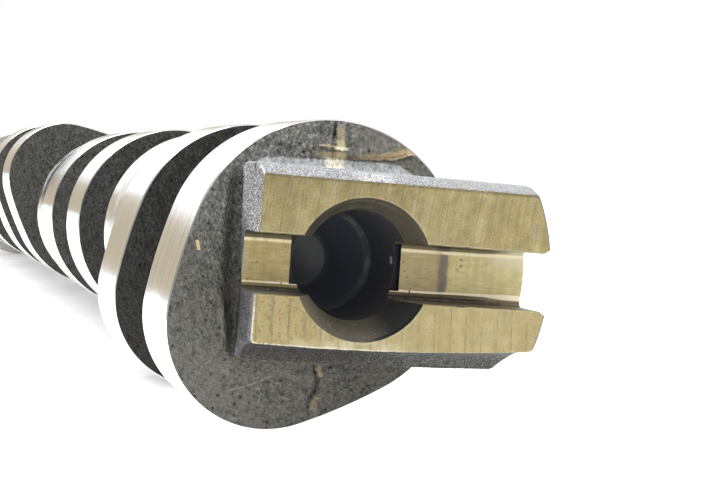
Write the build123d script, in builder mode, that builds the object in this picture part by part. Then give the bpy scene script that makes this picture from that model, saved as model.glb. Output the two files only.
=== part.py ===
from build123d import *
import math
import os

os.makedirs("parts", exist_ok=True)

# ---------------------------------------------------------------------------
# Four-cylinder camshaft, chilled cast iron, one casting with ground lobes.
# X runs along the shaft, the drive dog's face is at X = 0 and the shaft runs
# towards -X.  +Z is up with the shaft lying on its lobes.
# All lengths in mm, angles in degrees.
# ---------------------------------------------------------------------------

# cam lobes
base_r = 17.0            # base circle radius
nose_r = 12.6            # nose circle radius
nose_offset = 10.05      # nose circle centre from the axis
flank_r = 68.0           # convex flank radius
lobe_w = 14.5            # width of the ground band
lobe_edge = 0.35         # broken edge of the ground band
rest_roll = -5.8         # the drive dog's slot lies this far off level
nose_angles = [225.0, 315.0, 135.0, 45.0]   # one pair of lobes per cylinder
cylinder_pitch = 88.0    # from one pair of lobes to the next
lobe_step = 35.6         # from the first lobe of a pair to the second

# shaft between the lobes
neck_r = 10.4            # as-cast neck
neck_fillet = 1.8        # where a neck runs into a lobe or a journal
root_sink = 0.03         # the fillet just bites into the wall it meets
journal_r = 16.0         # ground bearing journal, next to each second lobe
journal_w = 16.5

# drive dog on the rear end
dog_len = 13.4           # dog face to the first lobe
dog_top = 9.86           # block top at the dog face, above the slot's middle
dog_bottom = 8.85        # block bottom at the dog face, below it
dog_left = 12.25         # plain end of the block
dog_top_full = 11.0      # cast top behind the rounded front edge
dog_top_round = 3.0      # radius of that edge
dog_bottom_full = 11.3   # cast bottom behind the cove
cove_r = 7.5             # cove between the front of the bottom and the rest of it
cove_start = 1.0
dog_end_r = 22.85        # long end of the block, round about the shaft's axis
dog_end_root_r = 21.70   # with a little draft towards the first lobe
dog_corner_r = 0.5
relief_x = 7.6           # cast relief behind the block's plain end
relief_depth = 1.9
slot_w = 6.65            # drive slot across the whole block
slot_depth = 6.5
slot_corner_r = 0.7

# centre bore in the dog
bore_mouth_r = 8.0       # mouth of the 60 degree centre
bore_r = 6.3
bore_depth = 16.2
step_r = 5.8             # rough tapered end behind the bore
step_depth = 16.8
pilot_r = 3.5
pilot_depth = 25.0
drill_tip = 59.0         # half angle of the drilled end

# front end
collar_r = 19.7          # thrust collar
collar_w = 6.0
seal_r = 15.0            # land for the oil seal
seal_w = 12.0
front_nose_r = 12.0      # nose for the timing wheel
front_nose_w = 20.0
bolt_hole_r = 4.25       # tapping-size hole for the wheel's bolt
bolt_hole_depth = 28.0
bolt_mouth_r = 5.6
front_chamfer = 1.0


# ---------------------------------------------------------------------------
# positions along the shaft
# ---------------------------------------------------------------------------
def station(x, roll=0.0):
    """Plane square to the shaft at X = x, its x direction turned by roll from +Y."""
    turn = math.radians(roll)
    return Plane(origin=(x, 0, 0), x_dir=(0, math.cos(turn), math.sin(turn)), z_dir=(1, 0, 0))


lobes = []               # (near face, nose angle)
journals = []            # near face
for i, angle in enumerate(nose_angles):
    first = -dog_len - i * cylinder_pitch
    lobes += [(first, angle), (first - lobe_step, angle)]
    journals.append(first - lobe_step - lobe_w)

shaft_end_of_journals = journals[-1] - journal_w
necks = []               # (near wall, far wall)
for i in range(len(nose_angles)):
    near_lobe, far_lobe = lobes[2 * i][0], lobes[2 * i + 1][0]
    necks.append((near_lobe - lobe_w, far_lobe))
    if i + 1 < len(nose_angles):
        necks.append((journals[i] - journal_w, lobes[2 * i + 2][0]))
collar_x = shaft_end_of_journals - collar_w
seal_x = collar_x - seal_w
front_x = seal_x - front_nose_w


# ---------------------------------------------------------------------------
# outline of one cam lobe, nose towards +x of its sketch
# ---------------------------------------------------------------------------
to_base = flank_r - base_r           # flank centre to the axis
to_nose = flank_r - nose_r           # flank centre to the nose centre
cx = (to_base**2 - to_nose**2 + nose_offset**2) / (2 * nose_offset)
cy = -math.sqrt(to_base**2 - cx**2)  # centre of the upper flank lies below
on_base = (-cx / to_base * base_r, -cy / to_base * base_r)
on_nose = (
    nose_offset + (nose_offset - cx) / to_nose * nose_r,
    -cy / to_nose * nose_r,
)
a0 = math.atan2(on_base[1] - cy, on_base[0] - cx)
a1 = math.atan2(on_nose[1] - cy, on_nose[0] - cx)
mid = (cx + flank_r * math.cos((a0 + a1) / 2), cy + flank_r * math.sin((a0 + a1) / 2))


def mirrored(p):
    return (p[0], -p[1])


with BuildSketch(Plane.XY) as lobe_outline:
    with BuildLine():
        ThreePointArc(on_base, mid, on_nose)
        ThreePointArc(on_nose, (nose_offset + nose_r, 0), mirrored(on_nose))
        ThreePointArc(mirrored(on_nose), mirrored(mid), mirrored(on_base))
        ThreePointArc(mirrored(on_base), (-base_r, 0), on_base)
    make_face()


with BuildPart() as lobe:
    with BuildSketch(Plane.XY):
        add(lobe_outline.sketch)
    extrude(amount=-lobe_w)
    # the ground band's edges are broken
    rims = lobe.faces().filter_by(Axis.Z).edges()
    chamfer(rims, length=lobe_edge)


# ---------------------------------------------------------------------------
# the casting
# ---------------------------------------------------------------------------
with BuildPart() as camshaft:
    # cast necks, flaring into the lobe or journal at each of their ends
    for near, far in necks:
        f = neck_fillet
        with BuildSketch(Plane.XZ):
            with BuildLine():
                Line((near + 1.0, 0), (near + 1.0, neck_r + f))
                Line((near + 1.0, neck_r + f), (near + root_sink, neck_r + f))
                ThreePointArc(
                    (near + root_sink, neck_r + f),
                    (near + root_sink - f + f * math.sqrt(0.5), neck_r + f - f * math.sqrt(0.5)),
                    (near + root_sink - f, neck_r),
                )
                Line((near + root_sink - f, neck_r), (far - root_sink + f, neck_r))
                ThreePointArc(
                    (far - root_sink + f, neck_r),
                    (far - root_sink + f - f * math.sqrt(0.5), neck_r + f - f * math.sqrt(0.5)),
                    (far - root_sink, neck_r + f),
                )
                Line((far - root_sink, neck_r + f), (far - 1.0, neck_r + f))
                Line((far - 1.0, neck_r + f), (far - 1.0, 0))
                Line((far - 1.0, 0), (near + 1.0, 0))
            make_face()
        revolve(axis=Axis.X)

    # turned and ground lengths: journals, thrust collar, seal land, front nose
    turned = [(x, x - journal_w, journal_r, lobe_edge) for x in journals]
    turned += [
        (shaft_end_of_journals, collar_x, collar_r, lobe_edge),
        (collar_x, seal_x, seal_r, lobe_edge),
        (seal_x, front_x, front_nose_r, front_chamfer),
    ]
    for near, far, r, c in turned:
        with BuildSketch(Plane.XZ):
            with BuildLine():
                Polyline(
                    (near + 0.5, 0),
                    (near + 0.5, r - 1.2),
                    (near, r - 1.2),
                    (near, r - lobe_edge),
                    (near - lobe_edge, r),
                    (far + c, r),
                    (far, r - c),
                    (far, 0),
                    close=True,
                )
            make_face()
        revolve(axis=Axis.X)

    # the lobes
    for x, angle in lobes:
        with Locations(station(x, angle)):
            add(lobe.part)

with BuildPart() as dog_block:
    # side profile of the cast block, run across it from its plain end
    across = station(0, rest_roll)
    u_dir = across.x_dir
    plain_end = Plane(
        origin=(0, -dog_left * u_dir.Y, -dog_left * u_dir.Z), x_dir=(1, 0, 0), z_dir=u_dir
    )                                    # its y direction points down the block
    round_c = dog_top_full - dog_top_round
    round_x = math.sqrt(dog_top_round**2 - (dog_top - round_c) ** 2)
    cove_drop = dog_bottom_full - dog_bottom
    cove_end = cove_start + math.sqrt(cove_r**2 - (cove_r - cove_drop) ** 2)
    cove_mid = (cove_start + cove_end) / 2 + 0.4
    with BuildSketch(plain_end):
        with BuildLine():
            Line((0, -dog_top), (0, dog_bottom))
            Line((0, dog_bottom), (-cove_start, dog_bottom))
            ThreePointArc(
                (-cove_start, dog_bottom),
                (-cove_mid, dog_bottom + cove_r - math.sqrt(cove_r**2 - (cove_mid - cove_start) ** 2)),
                (-cove_end, dog_bottom_full),
            )
            Line((-cove_end, dog_bottom_full), (-dog_len, dog_bottom_full))
            Line((-dog_len, dog_bottom_full), (-dog_len, -dog_top_full))
            Line((-dog_len, -dog_top_full), (-round_x, -dog_top_full))
            ThreePointArc(
                (-round_x, -dog_top_full),
                (-round_x / 2, -round_c - math.sqrt(dog_top_round**2 - (round_x / 2) ** 2)),
                (0, -dog_top),
            )
        make_face()
    extrude(amount=dog_left + dog_end_r + 2.0)

    # its long end is round about the shaft's axis
    with BuildSketch(Plane.XZ):
        with BuildLine():
            Polyline(
                (1.0, 0),
                (1.0, dog_end_r),
                (0, dog_end_r),
                (-dog_len, dog_end_root_r),
                (-dog_len, 0),
                close=True,
            )
        make_face()
    revolve(axis=Axis.X, mode=Mode.INTERSECT)

    # the plain end's long corners
    long_corners = dog_block.edges().filter_by(
        lambda e: e.geom_type == GeomType.LINE
        and e.bounding_box().size.X > dog_len * 0.45
        and (e.center().Y < 0)
    )
    fillet(long_corners, radius=dog_corner_r)

    # cast relief behind the block's plain end
    relief = station(0, rest_roll)
    with BuildSketch(Plane(origin=(0, 0, 0), x_dir=(1, 0, 0), z_dir=relief.y_dir)):
        with BuildLine():
            Polyline(
                (-relief_x, -dog_left - 1.0),
                (-relief_x, -dog_left - 0.05),
                (-dog_len, -dog_left + relief_depth),
                (-dog_len, -dog_left - 1.0),
                close=True,
            )
        make_face()
    extrude(amount=30, both=True, mode=Mode.SUBTRACT)

with BuildPart() as camshaft_casting:
    add(camshaft.part)
    add(dog_block.part)

    # the drive slot, with filleted floor corners
    slot_section = station(0, rest_roll)
    with BuildSketch(Plane(origin=(0, 0, 0), x_dir=(1, 0, 0), z_dir=slot_section.x_dir)) as slot_cut:
        with Locations((-slot_depth / 2 + 5.0, 0)):
            Rectangle(slot_depth + 10.0, slot_w)
        fillet(slot_cut.vertices().group_by(Axis.X)[0], radius=slot_corner_r)
    extrude(amount=45, both=True, mode=Mode.SUBTRACT)

    # centre bore: 60 degree mouth, straight bore, rough tapered end
    cone_len = (bore_mouth_r - bore_r) / math.tan(math.radians(30))
    tip_len = pilot_r / math.tan(math.radians(drill_tip))
    with BuildSketch(Plane.XZ):
        with BuildLine():
            Polyline(
                (1.0, 0),
                (1.0, bore_mouth_r),
                (0, bore_mouth_r),
                (-cone_len, bore_r),
                (-bore_depth, bore_r),
                (-step_depth, step_r),
                (-pilot_depth, pilot_r),
                (-pilot_depth - tip_len, 0),
                close=True,
            )
        make_face()
    revolve(axis=Axis.X, mode=Mode.SUBTRACT)

    # bolt hole in the front nose
    with BuildSketch(Plane.XZ):
        with BuildLine():
            Polyline(
                (front_x - 1.0, 0),
                (front_x - 1.0, bolt_mouth_r),
                (front_x, bolt_mouth_r),
                (front_x + (bolt_mouth_r - bolt_hole_r), bolt_hole_r),
                (front_x + bolt_hole_depth, bolt_hole_r),
                (front_x + bolt_hole_depth + bolt_hole_r / math.tan(math.radians(drill_tip)), 0),
                close=True,
            )
        make_face()
    revolve(axis=Axis.X, mode=Mode.SUBTRACT)

camshaft_casting.part.label = "camshaft"
export_step(camshaft_casting.part, "parts/camshaft.step")

box = camshaft_casting.part.bounding_box()
print("lobes at", [round(x, 2) for x, _ in lobes], "journals at", [round(x, 2) for x in journals])
print("front end", round(front_x, 2), "size", box.size, "lowest", round(box.min.Z, 3))
print("nose reach below the axis", round(nose_offset * math.sin(math.radians(45)) + nose_r, 3))
print("volume", round(camshaft_casting.part.volume, 1), "solids", len(camshaft_casting.part.solids()))
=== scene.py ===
import math

import bpy
import numpy as np
from mathutils import Matrix, Vector


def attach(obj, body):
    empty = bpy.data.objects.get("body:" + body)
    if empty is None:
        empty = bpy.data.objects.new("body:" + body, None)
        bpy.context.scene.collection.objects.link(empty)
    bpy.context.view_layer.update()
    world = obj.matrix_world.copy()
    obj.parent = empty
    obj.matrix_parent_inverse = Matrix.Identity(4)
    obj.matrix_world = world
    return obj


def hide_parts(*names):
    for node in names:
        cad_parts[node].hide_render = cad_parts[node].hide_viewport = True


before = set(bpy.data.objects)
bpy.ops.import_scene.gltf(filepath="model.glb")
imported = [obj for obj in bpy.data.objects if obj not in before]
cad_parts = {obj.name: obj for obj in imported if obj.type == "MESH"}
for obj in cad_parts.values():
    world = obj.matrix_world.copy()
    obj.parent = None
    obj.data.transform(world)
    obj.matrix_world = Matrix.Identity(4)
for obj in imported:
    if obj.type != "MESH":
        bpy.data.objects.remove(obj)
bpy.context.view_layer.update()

# ---------------------------------------------------------------------------
# Camshaft: one casting.  Millimetres here, metres in the scene.
# X along the shaft (dog face at 0), u/v are the dog's own level axes.
# ---------------------------------------------------------------------------
MM = 0.001
ROLL = math.radians(-5.8)
CR, SR = math.cos(ROLL), math.sin(ROLL)

BASE_R, NOSE_R, NOSE_D, FLANK_R = 16.985, 12.585, 10.05, 67.985
LOBE_W, EDGE = 14.5, 0.16
NECK_R, NECK_F = 10.4, 1.8
JR, JW = 16.0, 16.5
DOG = 13.4
PITCH, STEP = 88.0, 35.6
NOSES = [225.0, 315.0, 135.0, 45.0]
LOBES = []
JOURNALS = []
for i, a in enumerate(NOSES):
    f0 = -DOG - i * PITCH
    LOBES += [(f0, math.radians(a)), (f0 - STEP, math.radians(a))]
    JOURNALS.append(f0 - STEP - LOBE_W)
END_J = JOURNALS[-1] - JW
COLLAR_R, COLLAR_W = 19.69, 6.0
SEAL_R, SEAL_W = 15.0, 12.0
FN_R, FN_W = 12.0, 20.0
COLLAR_X = END_J - COLLAR_W
SEAL_X = COLLAR_X - SEAL_W
FRONT_X = SEAL_X - FN_W

N1, N2 = 512, 256     # points round the dog and first lobe, and round the rest

# material slots of the casting
CAST, BLOCK, GROUND, MILLED, BORED, SLOT, TURNED = range(7)


# ---------------------------------------------------------------------------
# smooth noise on arrays
# ---------------------------------------------------------------------------
def _hash(ix, iy, iz, seed):
    h = (ix * 374761393 + iy * 668265263 + iz * 2147483647 + seed * 1274126177) & 0xFFFFFFFF
    h = ((h ^ (h >> 13)) * 1274126177) & 0xFFFFFFFF
    h = ((h ^ (h >> 16)) * 2246822519) & 0xFFFFFFFF
    return ((h ^ (h >> 15)) & 0xFFFF) / 32767.5 - 1.0


def vnoise(x, y, z, seed=0):
    x, y, z = np.broadcast_arrays(np.asarray(x, float), np.asarray(y, float), np.asarray(z, float))
    ix, iy, iz = np.floor(x).astype(np.int64), np.floor(y).astype(np.int64), np.floor(z).astype(np.int64)
    fx, fy, fz = x - ix, y - iy, z - iz
    sx, sy, sz = (t * t * t * (t * (t * 6 - 15) + 10) for t in (fx, fy, fz))
    out = 0
    for dx in (0, 1):
        for dy in (0, 1):
            for dz in (0, 1):
                w = (sx if dx else 1 - sx) * (sy if dy else 1 - sy) * (sz if dz else 1 - sz)
                out = out + w * _hash(ix + dx, iy + dy, iz + dz, seed)
    return out


def fbm(x, y, z, size, octaves=3, seed=0):
    out, amp, tot = 0, 1.0, 0
    for o in range(octaves):
        k = 2.0**o / size
        out = out + amp * vnoise(x * k + 17.3 * o, y * k - 9.1 * o, z * k + 4.7 * o, seed + o)
        tot += amp
        amp *= 0.55
    return out / tot


def smooth(a, b, t):
    s = np.clip((t - a) / (b - a), 0, 1)
    return s * s * (3 - 2 * s)


# ---------------------------------------------------------------------------
# one cam lobe's outline as a polar radius
# ---------------------------------------------------------------------------
_tb, _tn = FLANK_R - BASE_R, FLANK_R - NOSE_R
_cx = (_tb**2 - _tn**2 + NOSE_D**2) / (2 * NOSE_D)
_cy = -math.sqrt(_tb**2 - _cx**2)
_base_a = math.atan2(-_cy / _tb, -_cx / _tb)
_nx = NOSE_D + (NOSE_D - _cx) / _tn * NOSE_R
_ny = -_cy / _tn * NOSE_R
_nose_a = math.atan2(_ny, _nx)


def lobe_r(theta, phi):
    a = np.abs((theta - phi + math.pi) % (2 * math.pi) - math.pi)
    r = np.full_like(a, BASE_R)
    m = a < _nose_a
    r[m] = NOSE_D * np.cos(a[m]) + np.sqrt(NOSE_R**2 - (NOSE_D * np.sin(a[m]))**2)
    m = (a >= _nose_a) & (a < _base_a)
    c = _cx * np.cos(a[m]) + _cy * np.sin(a[m])
    r[m] = c + np.sqrt(c * c - _cx**2 - _cy**2 + FLANK_R**2)
    return r


# ---------------------------------------------------------------------------
# the drive dog's outline at depth d behind its face, in (u, v)
# ---------------------------------------------------------------------------
SEG = dict(tr=6, top=140, tl=10, left=90, bl=10, bottom=140, br=16, right=100)


def bezier(p1, c, p2, n):
    t = (np.arange(n) / n)[:, None]
    return (1 - t)**2 * p1 + 2 * t * (1 - t) * c + t * t * p2


END_R, END_DRAFT = 22.82, 0.0840     # the long end, round about the axis


def lower_edge(u, d):
    t = min(max(d - 1.0, 0.0), 5.46)
    drop = 7.5 - math.sqrt(56.25 - t * t)
    kb = 0.00175 - 0.0011 * min(d / 6.6, 1.0)
    return -(8.94 + drop) + kb * (u + 1.5)**2


def undercut_at(v):
    """Depth behind the face where the cast relief of the plain end begins."""
    return np.interp(v, [-11.1, -9.1, -6.8, -4.6, -2.9, -0.4, 2.7, 4.9, 7.7, 10.4],
                     [7.0, 6.3, 5.96, 6.05, 6.4, 7.28, 8.13, 8.41, 8.93, 9.64])


def dog_outline(d):
    vt = 8.0 + math.sqrt(9.0 - min(d - 2.354, 0.0)**2)
    ra = END_R - END_DRAFT * d
    s = min(d / 6.0, 1.0)
    ul = -12.25
    c_tr, c_tl, c_bl, c_br = 0.30, 0.30 + 0.35 * s, 0.55 + 0.25 * s, 0.55
    TR = np.array([math.sqrt(ra**2 - vt**2), vt])
    TL = np.array([ul, vt])
    BL = np.array([ul, lower_edge(ul, d)])
    u = 19.0
    for _ in range(20):
        u = math.sqrt(ra**2 - lower_edge(u, d)**2)
    BR = np.array([u, lower_edge(u, d)])
    a_tr, a_br = math.atan2(TR[1], TR[0]), math.atan2(BR[1], BR[0])
    da_tr, da_br = c_tr / ra, c_br / ra
    on = lambda a: np.array([ra * math.cos(a), ra * math.sin(a)])
    parts = []
    # corner, top edge
    parts.append(bezier(on(a_tr - da_tr), TR, TR - [c_tr, 0], SEG["tr"]))
    t = np.arange(SEG["top"]) / SEG["top"]
    uu = (TR[0] - c_tr) + t * ((TL[0] + c_tl) - (TR[0] - c_tr))
    sag = 0.0078 * float(smooth(1.8, 0.0, d))
    parts.append(np.c_[uu, vt - sag * (TR[0] - uu)])
    TL = TL - [0, sag * (TR[0] - ul)]
    # corner, plain end
    parts.append(bezier(TL + [c_tl, sag * c_tl], TL, TL - [0, c_tl], SEG["tl"]))
    t = np.arange(SEG["left"]) / SEG["left"]
    vv = (TL[1] - c_tl) + t * ((BL[1] + c_bl) - (TL[1] - c_tl))
    parts.append(np.c_[np.full_like(vv, ul), vv])
    # corner, bottom edge
    parts.append(bezier(BL + [0, c_bl], BL, np.array([ul + c_bl, lower_edge(ul + c_bl, d)]), SEG["bl"]))
    t = np.arange(SEG["bottom"]) / SEG["bottom"]
    u1 = BR[0] - c_br
    uu = (ul + c_bl) + t * (u1 - (ul + c_bl))
    parts.append(np.c_[uu, lower_edge(uu, d)])
    # corner, long end
    parts.append(bezier(np.array([u1, lower_edge(u1, d)]), BR, on(a_br + da_br), SEG["br"]))
    t = np.arange(SEG["right"]) / SEG["right"]
    aa = (a_br + da_br) + t * ((a_tr - da_tr) - (a_br + da_br))
    parts.append(np.c_[ra * np.cos(aa), ra * np.sin(aa)])
    p = np.concatenate(parts)
    # cast relief behind the plain end: it turns in steeply, then runs back level
    lw = smooth(-8.0, -11.3, p[:, 0])
    ragged = 0.16 * fbm(p[:, 1], 0 * p[:, 1], 0 * p[:, 1], 1.7, 2, 45)
    deep = np.clip(d - undercut_at(p[:, 1]) - ragged, 0, None)
    p[:, 0] += lw * 1.9 * (1 - np.exp(-deep * 1.15))
    return p


def normals_of(p):
    t = np.roll(p, -1, 0) - np.roll(p, 1, 0)
    n = np.c_[t[:, 1], -t[:, 0]]
    return n / np.linalg.norm(n, axis=1)[:, None]


# ---------------------------------------------------------------------------
# rings: each is (x array, u array, v array), the first run in dog axes
# ---------------------------------------------------------------------------
verts, faces, mats = [], [], []
count = 0


def add_ring(x, y, z):
    global count
    n = len(y)
    verts.append(np.c_[np.broadcast_to(x, (n,)), y, z])
    count += n
    return (count - n, n)


def bridge(a, b, mat):
    (ia, na), (ib, nb) = a, b
    if na == nb:
        for k in range(na):
            k2 = (k + 1) % na
            faces.append((ia + k, ia + k2, ib + k2, ib + k))
            mats.append(mat)
    elif na == 2 * nb:
        for k in range(nb):
            k2 = (k + 1) % nb
            a0, a1, a2 = ia + 2 * k, ia + 2 * k + 1, ia + (2 * k + 2) % na
            faces.extend([(a0, a1, ib + k), (a1, a2, ib + k2), (a1, ib + k2, ib + k)])
            mats.extend([mat] * 3)


def yz(u, v):
    return u * CR - v * SR, u * SR + v * CR


def groove_edge(v):
    return np.interp(v, [-11.5, -8.7, -7.0, -5.2, -2.8, 0.5, 5.2, 9.9],
                     [-10.75, -11.15, -11.5, -11.8, -12.1, -12.3, -12.2, -12.3])


def groove_only(u, v):
    uo = groove_edge(v) + 0.10 * fbm(v, 0 * u, 0 * u, 1.3, 2, 46)
    span = smooth(-12.0, -11.0, v) * smooth(10.6, 8.6, v)
    return -0.80 * span * smooth(-0.90, 0.55, u - uo) * smooth(-9.3, -9.9, u)


def face_relief(u, v):
    """Height in mm by which the as-cast end face of the first lobe stands out (+X): parting
    flash, ground stubs, a slanted joint line and general unevenness."""
    grainy = 0.4 + 0.6 * smooth(3.0, -3.0, u)
    h = 0.09 * fbm(u, v, 0 * u, 5.0, 3, 3) + 0.04 * fbm(u, v, 0 * u, 1.1, 2, 11) + 0.06 * grainy * fbm(u, v, 0 * u, 0.55, 2, 12)
    # parting flash above the block
    uc = 0.27 + 0.12 * fbm(v, 0 * u, 0 * u, 1.6, 2, 21)
    w = 0.55
    top = smooth(11.6, 12.2, v) * smooth(17.2, 16.2, v)
    h = h + 0.42 * top * smooth(-w - 0.10, -w + 0.12, u - uc) * smooth(w + 0.35, w - 0.25, u - uc)
    h = h - 0.30 * top * np.exp(-(((u - uc) + w + 0.22) / 0.16)**2)
    # cross ledge left of the flash
    h = h + 0.28 * np.exp(-((v - 13.62) / 0.16)**2) * smooth(-2.7, -1.9, u) * smooth(0.2, -0.2, u)
    # slanted joint line to the right: the face steps down above it
    vl = 12.45 + 0.0 * u + 0.155 * np.clip(u - 4.0, 0, None) + 0.06 * fbm(u, 0 * u, 0 * u, 1.2, 2, 31)
    on = smooth(0.9, 1.5, u) * smooth(12.5, 10.0, u)
    h = h + 0.34 * on * smooth(0.0, 0.45, v - vl) * smooth(2.6, 0.9, v - vl)
    h = h - 0.22 * on * np.exp(-((v - vl + 0.12) / 0.14)**2)
    # parting line below the block
    ub = np.interp(v, [-18.6, -18.3, -16.5, -15.4, -13.9, -12.9, -11.7], [-0.9, -0.87, -0.76, -0.11, -0.03, -0.46, -0.74])
    ub = ub + 0.10 * fbm(v, 0 * u, 0 * u, 0.8, 2, 41)
    bot = smooth(-11.2, -12.0, v)
    h = h - 0.38 * bot * np.exp(-((u - ub) / 0.17)**2)
    h = h + 0.24 * bot * smooth(0.02, 0.22, u - ub) * smooth(1.6, 0.7, u - ub) * (
        0.35 + 0.65 * np.maximum(smooth(-14.0, -13.5, v) * smooth(-11.9, -12.4, v), smooth(-18.0, -17.4, v) * smooth(-15.6, -16.1, v)))
    # groove beside the block's plain end, and the raised lip low on its outer side
    uo = groove_edge(v) + 0.10 * fbm(v, 0 * u, 0 * u, 1.3, 2, 46)
    h = h + groove_only(u, v)
    lip = smooth(-11.6, -10.4, v) * smooth(-4.4, -6.4, v)
    h = h + 0.36 * lip * np.exp(-((u - uo + 0.75) / 0.36)**2)
    # thin scratch
    t = np.clip((u + 10.75) / 4.94, 0, 1)
    vs = -15.76 + 1.87 * t - 0.25 * np.sin(t * math.pi)
    h = h + 0.07 * np.exp(-((v - vs) / 0.10)**2) * smooth(-10.9, -10.5, u) * smooth(-5.6, -6.0, u)
    return h


# --- drive dog ---------------------------------------------------------------
prev = None
depths = [0.0, 0.12, 0.3] + list(np.arange(0.55, 5.4, 0.3)) + list(np.arange(5.4, 12.0, 0.2)) + [12.1]
p_front = dog_outline(0.0)
n_front = normals_of(p_front)
ring_cap = None
for j, d in enumerate(depths):
    p = dog_outline(d)
    n = normals_of(p)
    if j == 0:
        p = p - n * 0.12
    else:
        # as-cast waviness, fading out at the milled face; the turned end stays true
        turned = smooth(16.0, 19.0, p[:, 0])
        amp = (1 - 0.9 * turned) * smooth(0.0, 1.5, d)
        w = 0.06 * fbm(p[:, 0], p[:, 1], d, 4.0, 3, 51) + 0.035 * fbm(p[:, 0], p[:, 1], d, 0.7, 2, 61)
        # the milled face leaves a slightly ragged edge on the cast skin
        rag = 0.04 * fbm(p[:, 0], p[:, 1], 0.0, 0.6, 2, 71) * smooth(0.7, 0.0, d) * (1 - turned)
        p = p + n * (w * amp + rag)[:, None]
        r_ = np.hypot(p[:, 0], p[:, 1])
        lim_r = END_R - END_DRAFT * d
        k_ = np.where((p[:, 0] > 12) & (r_ > lim_r), lim_r / r_, 1.0)
        p = p * k_[:, None]
    y, z = yz(p[:, 0], p[:, 1])
    ring = add_ring(-d, y, z)
    if prev is None:
        ring_cap = ring
    else:
        bridge(prev, ring, MILLED if j == 1 else BLOCK)
    prev = ring

# faces of the cap: one polygon over the whole milled face
faces.append(tuple(range(ring_cap[0] + ring_cap[1] - 1, ring_cap[0] - 1, -1)))
mats.append(MILLED)

# --- first lobe's end face, from the block's root out to the ground rim -----------
phi0 = LOBES[0][1] - ROLL          # nose angle in dog axes
B = dog_outline(12.25)
nB = normals_of(B)
B = B + nB * (0.06 * fbm(B[:, 0], B[:, 1], 12.25, 4.0, 3, 51) * (1 - smooth(16.0, 19.0, B[:, 0])))[:, None]
ang = np.unwrap(np.arctan2(B[:, 1], B[:, 0]))
rim_r = lobe_r(ang, phi0)
gap = rim_r - np.hypot(B[:, 0], B[:, 1])
chm = EDGE * smooth(0.0, 1.0, gap)
R = np.c_[(rim_r - chm) * np.cos(ang), (rim_r - chm) * np.sin(ang)]
line = R - B
L = np.linalg.norm(line, axis=1)
dirn = line / np.maximum(L, 1e-9)[:, None]
signed = np.where((line * B).sum(1) > 0, L, -L)
cosb = np.clip((dirn * nB).sum(1), 0.25, 1)
# fillet radius wanted round the block's root
want = np.full(N1, 1.15)
i0 = 0
for key, f in (("tr", 0.3), ("top", 1.15), ("tl", 0.8), ("left", 0.45), ("bl", 0.8), ("bottom", 1.15), ("br", 0.3), ("right", 0.0)):
    want[i0:i0 + SEG[key]] = f
    i0 += SEG[key]
kern = np.hanning(21); kern /= kern.sum()
want = np.convolve(np.r_[want[-20:], want, want[:20]], kern, "same")[20:-20]
F = np.minimum(want, 0.35 * np.clip(signed, 0, None))
J = 26
first = prev
x_root = -DOG
for j in range(0, J + 1):
    if j <= 5:
        s = np.where(signed > 0, F / cosb * j / 5, L * j / J)
    else:
        s5 = np.where(signed > 0, F / cosb, L * 5 / J)
        s = s5 + (L - s5) * (j - 5) / (J - 5)
    q = B + dirn * s[:, None]
    dn = np.where(signed > 0, s * cosb, 9.0)
    inside = np.clip(F - dn, 0, None)
    fh = F - np.sqrt(np.clip(F * F - inside * inside, 0, None))
    fh = np.where(dn < F, fh, 0.0)
    g = groove_only(q[:, 0], q[:, 1])
    relief = (face_relief(q[:, 0], q[:, 1]) - g) * smooth(0.0, 0.8, signed) * smooth(0.0, 0.7, L - s) * smooth(-0.2, 0.9, s) + g
    if j == 0:
        x = -DOG + F + np.minimum(groove_only(q[:, 0], q[:, 1]), 0)
    else:
        x = x_root + fh + relief
    y, z = yz(q[:, 0], q[:, 1])
    ring = add_ring(x, y, z)
    bridge(prev, ring, CAST if j > 0 else BLOCK)
    prev = ring

# --- the first lobe's ground band ----------------------------------------------
# (the points slide round to even spacing on the way across)
uni = ang[0] + np.arange(N1) * 2 * math.pi / N1
uni = uni + np.mean(ang - uni)
across = [-EDGE, -0.9, -2.5, -4.5, -6.5, -8.5, -10.5, -12.5, -LOBE_W + EDGE]
for j, x in enumerate(across):
    t = smooth(1, len(across) - 2, j)
    th1 = ang * (1 - t) + uni * t + ROLL
    r1 = lobe_r(th1, LOBES[0][1])
    wob = 0.10 * fbm(np.cos(th1) * 4, np.sin(th1) * 4, 0, 1.2, 3, 81)
    xx = -DOG + x + (wob if j == 0 else 0)
    ring = add_ring(xx, r1 * np.cos(th1), r1 * np.sin(th1))
    bridge(prev, ring, GROUND)
    prev = ring


# --- everything behind it ------------------------------------------------------------
FLASH = math.radians(90) + ROLL      # parting plane


def flash_line(th):
    a = (th - FLASH + math.pi / 2) % math.pi - math.pi / 2
    return a


def neck_radius(th, x, seed):
    r = NECK_R + 0.14 * fbm(x, 9 * np.cos(th), 9 * np.sin(th), 7.0, 3, seed) + 0.05 * fbm(x, 9 * np.cos(th), 9 * np.sin(th), 1.3, 2, seed + 5)
    a = flash_line(th) * NECK_R
    return r + 0.30 * np.exp(-(a / 0.45)**2) * (0.7 + 0.6 * fbm(x, 0 * a, 0 * a, 3.0, 2, seed + 9))


def side_relief(th, r, seed):
    y, z = r * np.cos(th), r * np.sin(th)
    a = flash_line(th) * r
    return (0.12 * fbm(y, z, seed * 3.1, 6.0, 3, seed) + 0.04 * fbm(y, z, seed * 1.7, 1.2, 2, seed + 1)
            + 0.28 * np.exp(-(a / 0.5)**2) * (0.6 + 0.6 * fbm(r, 0 * r, 0 * r, 2.0, 2, seed + 2)))


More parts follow.
